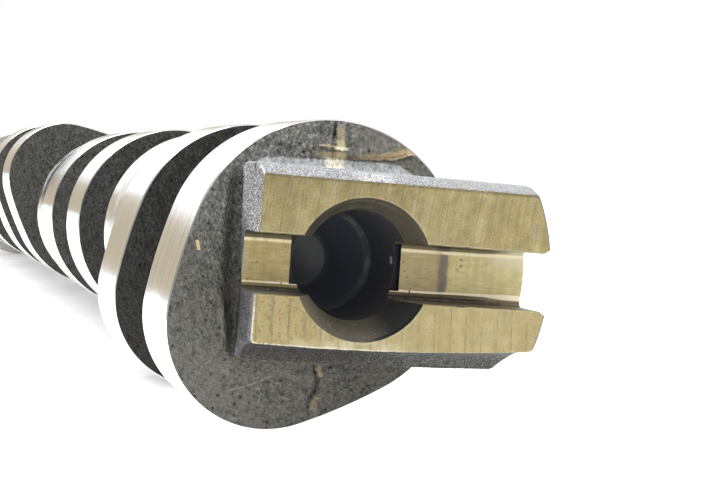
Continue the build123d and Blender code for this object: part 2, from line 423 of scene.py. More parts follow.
def lobe_far_side(th, x, phi, prev, n_out, seed):
    """From the ground band's far edge in to the neck's root. Returns the last ring."""
    rl = lobe_r(th, phi)
    for j in range(5):
        t = j / 4
        r = (rl - EDGE) * (1 - t) + (NECK_R + NECK_F) * t
        xx = x - side_relief(th, r, seed) * smooth(0, 0.25, t) * smooth(1.0, 0.8, t)
        ring = add_ring(xx, r * np.cos(th), r * np.sin(th))
        bridge(prev, ring, GROUND if j == 0 else CAST)
        prev = ring
    return prev


def lobe_near_side(th, x, phi, prev, seed):
    rl = lobe_r(th, phi)
    for j in range(5):
        t = j / 4
        r = (NECK_R + NECK_F) * (1 - t) + (rl - EDGE) * t
        xx = x + side_relief(th, r, seed) * smooth(0, 0.2, t) * smooth(1.0, 0.75, t)
        if j == 0:
            continue
        ring = add_ring(xx, r * np.cos(th), r * np.sin(th))
        bridge(prev, ring, CAST)
        prev = ring
    return prev


def band(th, x, r, w, prev, mat=GROUND, wobble=0):
    for j, dx in enumerate([EDGE, w / 2, w - EDGE]):
        wob = 0.09 * fbm(np.cos(th) * 4, np.sin(th) * 4, x, 1.2, 3, 91) if j in (0, 2) and wobble else 0
        ring = add_ring(x - dx + wob, r * np.cos(th), r * np.sin(th))
        bridge(prev, ring, mat)
        prev = ring
    return prev


def neck(th, x0, x1, prev, seed):
    """Cast neck from wall x0 to wall x1 (x1 < x0), with a fillet at each end."""
    f = NECK_F
    for a in (30, 60, 90):
        c = math.radians(a)
        base = neck_radius(th, x0 - f * math.sin(c), seed)
        r = base + f * (1 - math.sin(c)) * 1.0
        x = x0 - f * (1 - math.cos(c))
        r = NECK_R + f - f * math.sin(c) + (base - NECK_R) * smooth(0, 90, a)
        ring = add_ring(x, r * np.cos(th), r * np.sin(th))
        bridge(prev, ring, CAST)
        prev = ring
    for x in np.linspace(x0 - f, x1 + f, 8)[1:-1]:
        r = neck_radius(th, x, seed)
        ring = add_ring(x, r * np.cos(th), r * np.sin(th))
        bridge(prev, ring, CAST)
        prev = ring
    for a in (90, 60, 30, 0):
        c = math.radians(a)
        x = x1 + f * (1 - math.cos(c))
        base = neck_radius(th, x1 + f * math.sin(c), seed)
        r = NECK_R + f - f * math.sin(c) + (base - NECK_R) * smooth(0, 90, a)
        ring = add_ring(x, r * np.cos(th), r * np.sin(th))
        bridge(prev, ring, CAST)
        prev = ring
    return prev


prev = lobe_far_side(th1, -DOG - LOBE_W, LOBES[0][1], prev, N1, 101)
# half the points from here on
th2 = th1[::2]
ring = add_ring(-DOG - LOBE_W, (NECK_R + NECK_F) * np.cos(th2), (NECK_R + NECK_F) * np.sin(th2))
# the last ring of the far side sits at the same radius, so step in a little first
verts[-1][:, 0] = -DOG - LOBE_W - NECK_F * (1 - math.cos(math.radians(15)))
rr = NECK_R + NECK_F - NECK_F * math.sin(math.radians(15))
verts[-1][:, 1] = rr * np.cos(th2)
verts[-1][:, 2] = rr * np.sin(th2)
bridge(prev, ring, CAST)
prev = ring
for i in range(4):
    (xa, phi), (xb, _) = LOBES[2 * i], LOBES[2 * i + 1]
    if i == 2:
        th2 = th2[::2]      # and half again from the third pair on
    if i > 0:
        prev = lobe_near_side(th2, xa, phi, prev, 110 + i)
        prev = band(th2, xa, lobe_r(th2, phi), LOBE_W, prev, wobble=1)
        prev = lobe_far_side(th2, xa - LOBE_W, phi, prev, N2, 120 + i)
    prev = neck(th2, xa - LOBE_W, xb, prev, 130 + i)
    prev = lobe_near_side(th2, xb, phi, prev, 140 + i)
    prev = band(th2, xb, lobe_r(th2, phi), LOBE_W, prev, wobble=1)
    # lobe's far face down to the journal
    xj = JOURNALS[i]
    rl = lobe_r(th2, phi)
    for j in range(4):
        t = j / 3
        r = (rl - EDGE) * (1 - t) + JR * t
        xx = xj - side_relief(th2, r, 150 + i) * 0.7 * smooth(0, 0.3, t) * smooth(1.0, 0.7, t) * smooth(0.3, 3.0, rl - JR - 1.0)
        ring = add_ring(xx, r * np.cos(th2), r * np.sin(th2))
        bridge(prev, ring, GROUND if j == 0 else CAST)
        prev = ring
    for dx in (1.2, JW - EDGE):
        ring = add_ring(xj - dx, JR * np.cos(th2), JR * np.sin(th2))
        bridge(prev, ring, GROUND)
        prev = ring
    if i < 3:
        x1 = xj - JW
        for r, m in ((JR - EDGE, GROUND), ((JR + NECK_R + NECK_F) / 2, CAST), (NECK_R + NECK_F, CAST)):
            ring = add_ring(x1, r * np.cos(th2), r * np.sin(th2))
            bridge(prev, ring, m)
            prev = ring
        prev = neck(th2, x1, LOBES[2 * i + 2][0], prev, 160 + i)

# --- thrust collar, seal land and front nose --------------------------------------
hole = [(-FRONT_X - 0.0, 5.6), (-FRONT_X - 1.35, 4.25)]
profile = [
    (END_J, JR, GROUND), (END_J, COLLAR_R - 0.5, TURNED), (END_J - 0.5, COLLAR_R, TURNED),
    (COLLAR_X + 0.5, COLLAR_R, GROUND), (COLLAR_X, COLLAR_R - 0.5, TURNED),
    (COLLAR_X, (COLLAR_R + SEAL_R) / 2, TURNED), (COLLAR_X, SEAL_R + 0.25, TURNED), (COLLAR_X - 0.25, SEAL_R, TURNED),
    (COLLAR_X - SEAL_W / 2, SEAL_R, GROUND), (SEAL_X + 0.4, SEAL_R, GROUND), (SEAL_X, SEAL_R - 0.4, TURNED),
    (SEAL_X, FN_R + 0.3, TURNED), (SEAL_X - 0.3, FN_R, TURNED),
    (SEAL_X - FN_W / 2, FN_R, TURNED), (FRONT_X + 1.0, FN_R, TURNED), (FRONT_X, FN_R - 1.0, TURNED),
    (FRONT_X, (FN_R + 5.6) / 2, TURNED), (FRONT_X, 5.6, TURNED), (FRONT_X + 1.35, 4.25, TURNED),
    (FRONT_X + 8.0, 4.25, BORED), (FRONT_X + 16.0, 4.25, BORED), (FRONT_X + 28.0, 4.25, BORED),
    (FRONT_X + 29.6, 1.6, BORED),
]
for x, r, m in profile:
    ring = add_ring(x, r * np.cos(th2), r * np.sin(th2))
    bridge(prev, ring, m)
    prev = ring
tip = add_ring(FRONT_X + 30.55, np.array([0.0]), np.array([0.0]))
for k in range(len(th2)):
    faces.append((prev[0] + k, prev[0] + (k + 1) % len(th2), tip[0]))
    mats.append(BORED)

co = np.concatenate(verts) * MM


def new_mesh(name, co, faces, mats, materials):
    me = bpy.data.meshes.new(name)
    me.from_pydata([tuple(c) for c in co], [], faces)
    for m in materials:
        me.materials.append(m)
    me.polygons.foreach_set("material_index", mats)
    me.update()
    ob = bpy.data.objects.new(name, me)
    bpy.context.scene.collection.objects.link(ob)
    return ob


# ---------------------------------------------------------------------------
# materials
# ---------------------------------------------------------------------------
class Nodes:
    def __init__(self, name):
        self.mat = bpy.data.materials.new(name)
        self.mat.use_nodes = True
        self.t = self.mat.node_tree
        self.t.nodes.clear()
        self.out = self.t.nodes.new("ShaderNodeOutputMaterial")
        self.bsdf = self.t.nodes.new("ShaderNodeBsdfPrincipled")
        self.t.links.new(self.bsdf.outputs[0], self.out.inputs[0])
        self.obj = self.t.nodes.new("ShaderNodeTexCoord").outputs["Object"]

    def link(self, a, b):
        self.t.links.new(a, b)

    def math(self, op, a, b=None, c=None, clamp=False):
        n = self.t.nodes.new("ShaderNodeMath")
        n.operation = op
        n.use_clamp = clamp
        for i, v in enumerate((a, b, c)):
            if v is None:
                continue
            if isinstance(v, (int, float)):
                n.inputs[i].default_value = v
            else:
                self.link(v, n.inputs[i])
        return n.outputs[0]

    def vmath(self, op, a, b=None):
        n = self.t.nodes.new("ShaderNodeVectorMath")
        n.operation = op
        for i, v in enumerate((a, b)):
            if v is None:
                continue
            if isinstance(v, (tuple, list)):
                n.inputs[i].default_value = v
            else:
                self.link(v, n.inputs[i])
        return n.outputs["Value"] if op in ("LENGTH", "DOT_PRODUCT", "DISTANCE") else n.outputs[0]

    def sep(self, v):
        n = self.t.nodes.new("ShaderNodeSeparateXYZ")
        self.link(v, n.inputs[0])
        return n.outputs

    def comb(self, x, y, z):
        n = self.t.nodes.new("ShaderNodeCombineXYZ")
        for i, v in enumerate((x, y, z)):
            if isinstance(v, (int, float)):
                n.inputs[i].default_value = v
            else:
                self.link(v, n.inputs[i])
        return n.outputs[0]

    def noise(self, vec, scale, detail=2.0, rough=0.5, distortion=0.0):
        n = self.t.nodes.new("ShaderNodeTexNoise")
        n.inputs["Scale"].default_value = scale
        n.inputs["Detail"].default_value = detail
        n.inputs["Roughness"].default_value = rough
        n.inputs["Distortion"].default_value = distortion
        self.link(vec, n.inputs["Vector"])
        return n.outputs[0]

    def voronoi(self, vec, scale, feature="F1", rand=1.0):
        n = self.t.nodes.new("ShaderNodeTexVoronoi")
        n.feature = feature
        n.inputs["Scale"].default_value = scale
        n.inputs["Randomness"].default_value = rand
        self.link(vec, n.inputs["Vector"])
        return n.outputs[0]

    def ramp(self, f, stops, interp="LINEAR"):
        n = self.t.nodes.new("ShaderNodeValToRGB")
        n.color_ramp.interpolation = interp
        e = n.color_ramp.elements
        while len(e) > 1:
            e.remove(e[-1])
        for i, (p, c) in enumerate(stops):
            if isinstance(c, (int, float)):
                c = (c, c, c)
            el = e[0] if i == 0 else e.new(p)
            el.position = p
            el.color = (*c, 1)
        self.link(f, n.inputs[0])
        return n.outputs[0]

    def mix(self, f, a, b, blend="MIX"):
        n = self.t.nodes.new("ShaderNodeMix")
        n.data_type = "RGBA"
        n.blend_type = blend
        n.clamp_factor = True
        for s, v in ((n.inputs[0], f), (n.inputs[6], a), (n.inputs[7], b)):
            if isinstance(v, (int, float)):
                s.default_value = v
            elif isinstance(v, tuple):
                s.default_value = (*v, 1)
            else:
                self.link(v, s)
        return n.outputs[2]

    def mul(self, *fs):
        out = fs[0]
        for f in fs[1:]:
            out = self.math("MULTIPLY", out, f)
        return out

    def band(self, v, lo, hi, soft):
        """1 where lo < v < hi, with soft edges."""
        return self.mul(self.mapr(v, lo - soft, lo + soft), self.mapr(v, hi + soft, hi - soft))

    def line(self, v, at, half, soft):
        """1 on v = at, falling off over soft beyond half."""
        d = self.math("ABSOLUTE", self.math("SUBTRACT", v, at))
        return self.mapr(d, half + soft, half)

    def curve(self, f, pts):
        """Piecewise straight function of f through pts (f, value)."""
        lo, hi = pts[0][0], pts[-1][0]
        vals = [p[1] for p in pts]
        a, b = min(vals) - 0.1, max(vals) + 0.1
        n = self.t.nodes.new("ShaderNodeMapRange")
        n.inputs[1].default_value = lo
        n.inputs[2].default_value = hi
        self.link(f, n.inputs[0])
        r = self.ramp(n.outputs[0], [((p - lo) / (hi - lo), (q - a) / (b - a)) for p, q in pts])
        r = self.sep(r)[0]
        return self.math("ADD", self.math("MULTIPLY", r, b - a), a)

    def between(self, v, lo, hi, soft):
        """1 between two sockets lo and hi."""
        return self.mul(self.mapr(self.math("SUBTRACT", v, lo), -soft, soft), self.mapr(self.math("SUBTRACT", hi, v), -soft, soft))

    def mapr(self, v, a, b, c=0.0, d=1.0):
        n = self.t.nodes.new("ShaderNodeMapRange")
        n.interpolation_type = "SMOOTHSTEP"
        n.inputs[1].default_value = a
        n.inputs[2].default_value = b
        n.inputs[3].default_value = c
        n.inputs[4].default_value = d
        self.link(v, n.inputs[0])
        return n.outputs[0]

    def bump(self, height, strength, distance, normal=None):
        n = self.t.nodes.new("ShaderNodeBump")
        n.inputs["Strength"].default_value = strength
        n.inputs["Distance"].default_value = distance
        self.link(height, n.inputs["Height"])
        if normal is not None:
            self.link(normal, n.inputs["Normal"])
        return n.outputs[0]

    def set(self, **kw):
        for k, v in kw.items():
            s = self.bsdf.inputs[k.replace("_", " ")]
            if isinstance(v, (int, float)):
                s.default_value = v
            elif isinstance(v, tuple):
                s.default_value = (*v, 1)
            else:
                self.link(v, s)


def dog_axes(n):
    """(x, u, v) in millimetres as separate sockets, and the vector."""
    mm = n.vmath("MULTIPLY", n.obj, (1000, 1000, 1000))
    x, y, z = n.sep(mm)
    u = n.math("ADD", n.math("MULTIPLY", y, CR), n.math("MULTIPLY", z, SR))
    v = n.math("SUBTRACT", n.math("MULTIPLY", z, CR), n.math("MULTIPLY", y, SR))
    return mm, x, u, v


def patches(n, vec, scale, lo, hi, detail=2.0, rough=0.6):
    return n.mapr(n.noise(vec, scale, detail, rough), lo, hi)


# as-cast skin: dark grey-olive, grainy; the end face carries its foundry marks
n = Nodes("cast_skin")
mm, x, u, v = dog_axes(n)
big = n.noise(mm, 0.15, 3, 0.55)
mid = n.noise(mm, 0.75, 3, 0.6)
fine = n.noise(mm, 2.3, 2, 0.6)
grain = n.noise(mm, 4.4, 2, 0.6)
pits = n.voronoi(mm, 0.9)
tone = n.math("ADD", n.mul(mid, 0.30), n.math("ADD", n.mul(fine, 0.46), n.mul(grain, 0.24)))
calm = n.mul(n.mapr(v, 4.0, -7.0, 1.0, 0.62), n.mapr(u, -10.0, -15.0, 1.0, 0.76))
tone = n.math("ADD", n.mul(n.math("SUBTRACT", tone, 0.485), calm), 0.485)
col = n.ramp(tone, [(0.38, (0.038, 0.038, 0.033)), (0.46, (0.086, 0.085, 0.075)), (0.53, (0.136, 0.135, 0.120)), (0.62, (0.255, 0.255, 0.235))])
warm = n.mapr(n.noise(mm, 0.33, 2, 0.5), 0.48, 0.66)
lowhalf = n.mapr(v, 2.0, -9.0)
col = n.mix(n.mul(warm, lowhalf, 0.45), col, (0.150, 0.128, 0.112))
col = n.mix(n.mul(n.mapr(mid, 0.43, 0.33), n.mapr(v, 2.0, -9.0, 0.45, 0.75)), col, (0.045, 0.045, 0.044))
olive = n.mul(n.mapr(u, 0.5, 5.0), n.mapr(v, 9.0, 12.5))
smoothed = n.noise(n.comb(n.mul(u, 2.4), n.mul(v, 0.9), 2.0), 1.0, 3, 0.65)
col = n.mix(n.mul(olive, 0.62), col, n.ramp(smoothed, [(0.35, (0.085, 0.080, 0.062)), (0.50, (0.125, 0.118, 0.092)), (0.65, (0.175, 0.166, 0.135))]))
col = n.mix(n.mul(n.mapr(pits, 0.24, 0.10), n.mapr(big, 0.42, 0.56), 0.8), col, (0.016, 0.016, 0.016))
# the first lobe's end face (painted lighter further down), and a ramp across it from left to right
end = n.mapr(x, -15.4, -14.9)
side = n.mapr(u, -13.5, -4.0, 0.72, 1.0)
# flash and ground stubs above the block
nz = n.noise(n.comb(n.mul(u, 2.2), n.mul(v, 2.2), 0.0), 1.0, 3, 0.65)
jit = n.mul(n.math("SUBTRACT", nz, 0.5), 0.55)
uj = n.math("ADD", u, jit)
vj = n.math("ADD", v, n.mul(n.math("SUBTRACT", n.noise(n.comb(n.mul(u, 1.9), n.mul(v, 1.9), 7.0), 1.0, 3, 0.65), 0.5), 0.5))
fl = n.curve(v, [(12.3, -0.30), (13.95, -0.21), (15.14, -0.26), (16.7, -0.40)])
fr = n.curve(v, [(12.3, 1.10), (12.64, 1.10), (14.05, 0.84), (15.2, 0.55), (16.7, 0.35)])
flash = n.mul(end, n.between(uj, fl, fr, 0.16), n.band(v, 12.3, 16.2, 0.35))
col = n.mix(n.mul(flash, n.mapr(nz, 0.30, 0.55, 0.25, 0.95), n.mapr(v, 16.6, 13.9, 0.55, 1.0)), col, (0.335, 0.285, 0.165))
bright = n.mul(flash, n.band(vj, 13.75, 14.5, 0.25), n.band(uj, -0.15, 0.65, 0.2))
col = n.mix(n.mul(bright, 0.5), col, (0.58, 0.52, 0.30))
ridge = n.mul(end, n.band(vj, 13.40, 13.78, 0.12), n.band(uj, -0.40, 1.15, 0.18))
col = n.mix(n.mul(ridge, n.mapr(nz, 0.25, 0.5, 0.7, 1.0)), col, (0.80, 0.74, 0.55))
ridge2 = n.mul(end, n.band(vj, 13.62, 13.90, 0.14), n.band(uj, -2.3, -0.30, 0.35))
col = n.mix(n.mul(ridge2, n.mapr(nz, 0.3, 0.55, 0.4, 0.95)), col, (0.44, 0.345, 0.215))
gapd = n.mul(end, n.band(vj, 13.14, 13.32, 0.12), n.band(u, -1.5, 1.1, 0.3))
col = n.mix(n.mul(gapd, 0.75), col, (0.045, 0.040, 0.032))
slit = n.mul(end, n.line(uj, -0.52, 0.09, 0.14), n.band(v, 14.9, 16.8, 0.35))
col = n.mix(n.mul(slit, 0.85), col, (0.014, 0.014, 0.014))
patch = n.mul(end, n.band(vj, 12.30, 13.05, 0.20), n.mapr(uj, -3.4, -0.9), n.mapr(uj, 0.2, -0.4))
col = n.mix(n.mul(patch, n.mapr(smoothed, 0.3, 0.6, 0.4, 1.0)), col, (0.33, 0.255, 0.145))
# slanted joint line to the right of it
lo_ = n.curve(u, [(0.9, 12.28), (4.77, 12.60), (7.3, 12.85), (8.54, 13.30), (9.79, 13.74), (11.2, 14.2)])
hi_ = n.curve(u, [(0.9, 12.45), (3.43, 13.10), (5.94, 13.55), (7.82, 14.05), (8.84, 14.25), (11.2, 14.9)])
joint = n.mul(end, n.mapr(n.math("SUBTRACT", vj, lo_), -0.06, 0.08), n.mapr(n.math("SUBTRACT", hi_, vj), -0.35, 0.35), n.mapr(u, 0.8, 2.6))
col = n.mix(n.mul(joint, n.mapr(u, 1.5, 9.0, 0.50, 0.95), n.mapr(nz, 0.25, 0.6, 0.45, 1.0)), col, (0.40, 0.295, 0.150))
# painted highlight along the step at the joint line's lower edge
joint_lip_highlight = n.mul(end, n.line(n.math("SUBTRACT", vj, lo_), 0.10, 0.07, 0.14), n.mapr(u, 2.6, 8.0))
col = n.mix(n.mul(joint_lip_highlight, n.mapr(nz, 0.3, 0.6, 0.3, 0.8)), col, (0.60, 0.47, 0.32))
# painted shade just under the joint line
under_joint_shade = n.mul(end, n.line(n.math("SUBTRACT", vj, lo_), -0.24, 0.10, 0.18), n.band(u, 1.6, 9.4, 0.5))
col = n.mix(n.mul(under_joint_shade, 0.6), col, (0.055, 0.050, 0.042))
# painted light: the fillet along the block's top is painted lighter as if lit from above, with a painted cream
# highlight under the flash
ft = n.curve(u, [(-10.2, 10.9), (-9.63, 11.35), (-8.82, 11.85), (-4.6, 12.05), (1.1, 12.28), (6.06, 12.40), (8.0, 12.20), (9.08, 11.65), (10.1, 11.0)])
fillet_painted_light = n.mul(n.mapr(x, -14.6, -13.9), n.mapr(n.math("SUBTRACT", ft, vj), -0.10, 0.22), n.mapr(v, 10.5, 10.8), n.band(u, -9.9, 10.0, 0.3))
fillet_lit_colour = n.ramp(n.math("ADD", n.mul(tone, 0.6), n.mul(smoothed, 0.4)), [(0.36, (0.150, 0.155, 0.150)), (0.50, (0.350, 0.358, 0.362)), (0.62, (0.540, 0.550, 0.560))])
col = n.mix(n.mul(fillet_painted_light, n.mapr(u, -8.0, 2.0, 0.80, 0.96)), col, fillet_lit_colour)
cream_painted_highlight = n.mul(end, n.band(uj, -1.4, 0.85, 0.35), n.band(vj, 11.0, 12.25, 0.22))
col = n.mix(n.mul(cream_painted_highlight, n.mapr(nz, 0.34, 0.54, 0.15, 0.95)), col, (0.84, 0.80, 0.65))
# parting line below the block
ub = n.curve(v, [(-18.9, -0.90), (-18.3, -0.87), (-16.5, -0.76), (-15.4, -0.11), (-13.9, -0.03), (-12.9, -0.46), (-11.4, -0.80)])
lowz = n.mul(end, n.mapr(v, -11.2, -11.9))
crack = n.mul(lowz, n.line(n.math("SUBTRACT", u, n.math("ADD", ub, n.mul(jit, 0.7))), 0.0, 0.07, 0.11))
t1 = n.mul(lowz, n.band(n.math("SUBTRACT", uj, ub), 0.12, 0.72, 0.12), n.band(vj, -13.7, -12.0, 0.15))
t2 = n.mul(lowz, n.band(n.math("SUBTRACT", uj, ub), 0.10, 0.95, 0.15), n.band(vj, -17.7, -15.8, 0.2))
col = n.mix(n.mul(n.math("MAXIMUM", t1, n.mul(t2, 0.75)), n.mapr(nz, 0.34, 0.56, 0.25, 0.9)), col, (0.34, 0.275, 0.175))
col = n.mix(n.mul(crack, n.mapr(nz, 0.36, 0.56, 0.85, 0.15)), col, (0.022, 0.022, 0.021))
# thin bright scratch, brass-coloured nick
k = (-13.89 + 15.76) / (10.75 - 5.81)
sl = n.math("SUBTRACT", v, n.math("ADD", n.mul(u, k), -15.76 + 10.75 * k))
bow = n.mul(n.mul(n.math("ADD", u, 10.75), n.math("SUBTRACT", -5.81, u)), 0.035)
scr = n.mul(end, n.line(n.math("ADD", sl, bow), 0.0, 0.035, 0.075), n.band(u, -10.75, -5.81, 0.15), n.mapr(fine, 0.3, 0.6, 0.35, 0.9))
col = n.mix(scr, col, (0.24, 0.24, 0.235))
k2 = (-15.72 + 16.06) / (0.33 - 1.46)
nick = n.mul(end, n.line(n.math("SUBTRACT", u, n.math("ADD", n.mul(v, k2), -16.06 - 1.46 * k2)), 0.0, 0.15, 0.07), n.band(v, 0.33, 1.46, 0.07))
col = n.mix(n.mul(nick, 0.95), col, (0.60, 0.46, 0.22))
# painted shade in the groove beside the block's plain end and under the block
gc = n.curve(v, [(-11.5, -10.75), (-8.7, -11.15), (-7.0, -11.5), (-5.2, -11.8), (-2.8, -12.1), (0.5, -12.3), (5.2, -12.2), (9.9, -12.3)])
groove_shade = n.mul(end, n.curve(v, [(-12.4, 0.0), (-10.6, 0.85), (4.0, 0.90), (9.0, 0.7), (11.0, 0.0)]), n.mapr(n.math("SUBTRACT", u, gc), -1.1, 0.5), n.mapr(u, -9.2, -9.8))
# painted light and shade: the first lobe's end face painted lighter, the surfaces behind it darker, most of all around
# the first pair; low on the end face slightly lighter, darker to the lower right
painted_shading = n.mix(end, (0.22, 0.22, 0.225), (1.45, 1.45, 1.45))
painted_shading = n.mix(n.mapr(x, -62.0, -63.6), painted_shading, (0.37, 0.37, 0.365))
painted_shading = n.mix(n.mapr(x, -130.0, -137.0), painted_shading, (0.56, 0.56, 0.54))
low_end_shading = n.mul(end, n.mapr(v, 7.0, -2.0))
painted_shading = n.mix(n.mul(low_end_shading, 0.92), painted_shading, (1.04, 1.03, 1.00))
painted_shading = n.mix(n.mul(low_end_shading, n.mapr(u, -2.0, 4.0), 0.85), painted_shading, (0.78, 0.77, 0.74))
col = n.mix(n.mul(groove_shade, 0.60), col, (0.032, 0.032, 0.031))
# painted shade on the face under the block
foot = n.mul(end, n.band(u, -11.5, 8.0, 2.5), n.mapr(n.math("ADD", v, n.mul(n.math("SUBTRACT", mid, 0.5), 4.0)), -13.4, -11.0), n.mapr(v, -8.0, -8.6))
col = n.mix(n.mul(foot, 0.62), col, n.ramp(tone, [(0.40, (0.020, 0.019, 0.016)), (0.50, (0.055, 0.053, 0.045)), (0.60, (0.130, 0.127, 0.115))]))
col = n.mix(1.0, col, painted_shading, "MULTIPLY")
n.set(Base_Color=col, Metallic=0.12, Specular_IOR_Level=0.4)
n.set(Roughness=n.mapr(fine, 0.35, 0.7, 0.66, 0.42))
h = n.math("ADD", n.mul(fine, 0.7), n.mul(mid, 0.9))
h = n.math("ADD", h, n.mul(grain, 0.35))
h = n.math("SUBTRACT", h, n.mul(n.mapr(pits, 0.25, 0.05), 0.6))
n.set(Normal=n.bump(h, 1.0, 0.00040))
M_CAST = n.mat

# the block's cast sides, blasted and sparkling, with painted light: painted lighter on top, painted shade on the sides,
# low on the plain end and underneath
n = Nodes("blasted_skin")
mm, x, u, v = dog_axes(n)
mid = n.noise(mm, 1.2, 3, 0.6)
fine = n.noise(mm, 4.6, 3, 0.75)
spark = n.noise(mm, 7.5, 1, 0.5)
tone = n.math("ADD", n.mul(mid, 0.14), n.math("ADD", n.mul(fine, 0.40), n.mul(spark, 0.46)))
top_painted_light = n.ramp(tone, [(0.38, (0.115, 0.115, 0.115)), (0.45, (0.325, 0.326, 0.33)), (0.53, (0.47, 0.47, 0.476)), (0.60, (0.80, 0.80, 0.80))])
top_painted_light = n.mix(n.mapr(u, 6.0, 12.0, 0.0, 0.55), top_painted_light, (0.46, 0.46, 0.455))
side_painted_shade = n.ramp(tone, [(0.41, (0.012, 0.012, 0.013)), (0.46, (0.078, 0.079, 0.084)), (0.52, (0.170, 0.171, 0.175)), (0.567, (0.74, 0.74, 0.74))])
low_painted_shade = n.ramp(tone, [(0.38, (0.011, 0.011, 0.012)), (0.50, (0.030, 0.030, 0.032)), (0.60, (0.20, 0.20, 0.21))])
under_painted_shade = n.ramp(tone, [(0.40, (0.007, 0.007, 0.006)), (0.49, (0.034, 0.034, 0.032)), (0.59, (0.19, 0.19, 0.18))])
under_left_painted_shade = n.ramp(tone, [(0.38, (0.007, 0.007, 0.006)), (0.49, (0.020, 0.019, 0.016)), (0.60, (0.075, 0.072, 0.062))])
under_left_painted_shade = n.mix(n.mapr(v, -9.6, -12.0), under_left_painted_shade, n.ramp(tone, [(0.38, (0.014, 0.013, 0.011)), (0.49, (0.046, 0.044, 0.037)), (0.60, (0.130, 0.126, 0.112))]))
under_painted_shade = n.mix(n.mapr(u, 9.0, -1.0), under_painted_shade, under_left_painted_shade)
mott = n.mul(n.mapr(n.noise(n.comb(n.mul(x, 0.7), n.mul(u, 0.9), 4.0), 1.0, 3, 0.65), 0.46, 0.36), 0.7)
under_painted_shade = n.mix(mott, under_painted_shade, (0.032, 0.032, 0.030))
top_at = n.curve(x, [(-3.2, 11.0), (-2.354, 11.0), (-1.6, 10.90), (-1.0, 10.68), (-0.5, 10.36), (-0.2, 10.08), (0.0, 9.70)])
below = n.math("SUBTRACT", v, top_at)
onside = n.mul(n.mapr(u, -11.85, -12.10), n.mapr(below, -0.10, -0.30))
col = n.mix(n.mul(n.mapr(v, 9.2, 9.5), n.math("SUBTRACT", 1.0, onside)), side_painted_shade, top_painted_light)
col = n.mix(n.mul(n.mapr(v, 3.0, -4.6), n.mapr(u, -11.0, -11.8)), col, low_painted_shade)
col = n.mix(n.mul(n.mapr(v, -8.3, -8.75), n.mapr(u, -12.1, -11.6)), col, under_painted_shade)
# lilac sheen next to the milled edge low on the plain end, and down its long corner
lil = n.mul(n.mapr(n.math("ADD", x, n.mul(n.math("SUBTRACT", mid, 0.5), 1.6)), -1.9, -0.3), n.mapr(u, -11.9, -12.2), n.band(v, -8.8, -3.2, 0.5))
edge = n.mul(n.band(v, -11.0, -8.4, 0.35), n.line(u, -12.02, 0.10, 0.22), n.mapr(x, -7.4, -6.2))
col = n.mix(n.mul(lil, 0.80, n.mapr(fine, 0.3, 0.6, 0.3, 0.95)), col, (0.240, 0.235, 0.258))
col = n.mix(n.mul(edge, 0.75, n.mapr(fine, 0.3, 0.6, 0.3, 0.95)), col, (0.120, 0.118, 0.130))
# painted shade: the plain end darkens towards its relief
relief_shade = n.mul(n.mapr(x, -3.4, -7.0), n.mapr(u, -11.7, -12.15), n.band(v, -8.4, 4.5, 2.0))
col = n.mix(n.mul(relief_shade, 0.80), col, (0.028, 0.028, 0.029))
# painted shade in the recess behind the plain end
hidden_shade = n.mul(n.mapr(u, -12.16, -11.9), n.mapr(u, -9.6, -10.4), n.band(v, -10.5, 10.6, 0.4), n.mapr(x, -5.6, -6.4))
col = n.mix(n.mul(hidden_shade, 0.85), col, (0.030, 0.030, 0.030))
# painted highlight on the corner, and a dark pit, at the top of the plain end
corner_highlight = n.mul(n.line(u, -12.18, 0.05, 0.12), n.band(below, -0.66, -0.30, 0.10), n.mapr(x, -2.6, -1.9))
col = n.mix(n.mul(corner_highlight, n.mapr(fine, 0.3, 0.55, 0.6, 1.0)), col, (0.88, 0.88, 0.88))
pit = n.mul(n.line(n.math("ADD", x, n.mul(n.math("SUBTRACT", v, 10.45), 0.55)), -4.25, 0.22, 0.32), n.band(v, 9.95, 11.2, 0.3), n.mapr(u, -10.9, -11.9))
col = n.mix(n.mul(pit, 0.95), col, (0.015, 0.015, 0.016))
glint = n.mul(n.band(u, -1.6, 2.6, 1.0), n.mapr(x, -1.9, -0.9), n.mapr(v, 9.2, 9.6), n.mapr(spark, 0.43, 0.54))
col = n.mix(n.mul(glint, 0.75), col, (0.95, 0.95, 0.95))
# dark line where the cast skin meets the milled face
rim = n.mul(n.mapr(x, -0.34, -0.14), n.mapr(v, 9.2, 9.4), n.mapr(mid, 0.38, 0.55, 0.2, 1.0))
col = n.mix(n.mul(rim, n.mapr(mid, 0.42, 0.54), 0.45), col, (0.13, 0.125, 0.10))
tip = n.mul(n.mapr(u, 19.6, 20.8), n.mapr(x, -3.0, -0.4))
col = n.mix(n.mul(tip, 0.6), col, (0.30, 0.30, 0.30))
foot = n.mul(n.mapr(v, -8.2, -8.9), n.mapr(u, 11.0, 3.0))
n.set(Base_Color=col, Specular_IOR_Level=0.3)
n.set(Metallic=n.mapr(foot, 0.0, 1.0, 0.12, 0.0))
n.set(Roughness=n.math("ADD", n.mapr(fine, 0.35, 0.7, 0.60, 0.38), n.mul(foot, 0.38)))
n.set(Normal=n.bump(n.math("ADD", n.mul(fine, 1.0), n.math("ADD", n.mul(mid, 0.8), n.mul(spark, 0.4))), 0.9, 0.00022))
M_BLOCK = n.mat

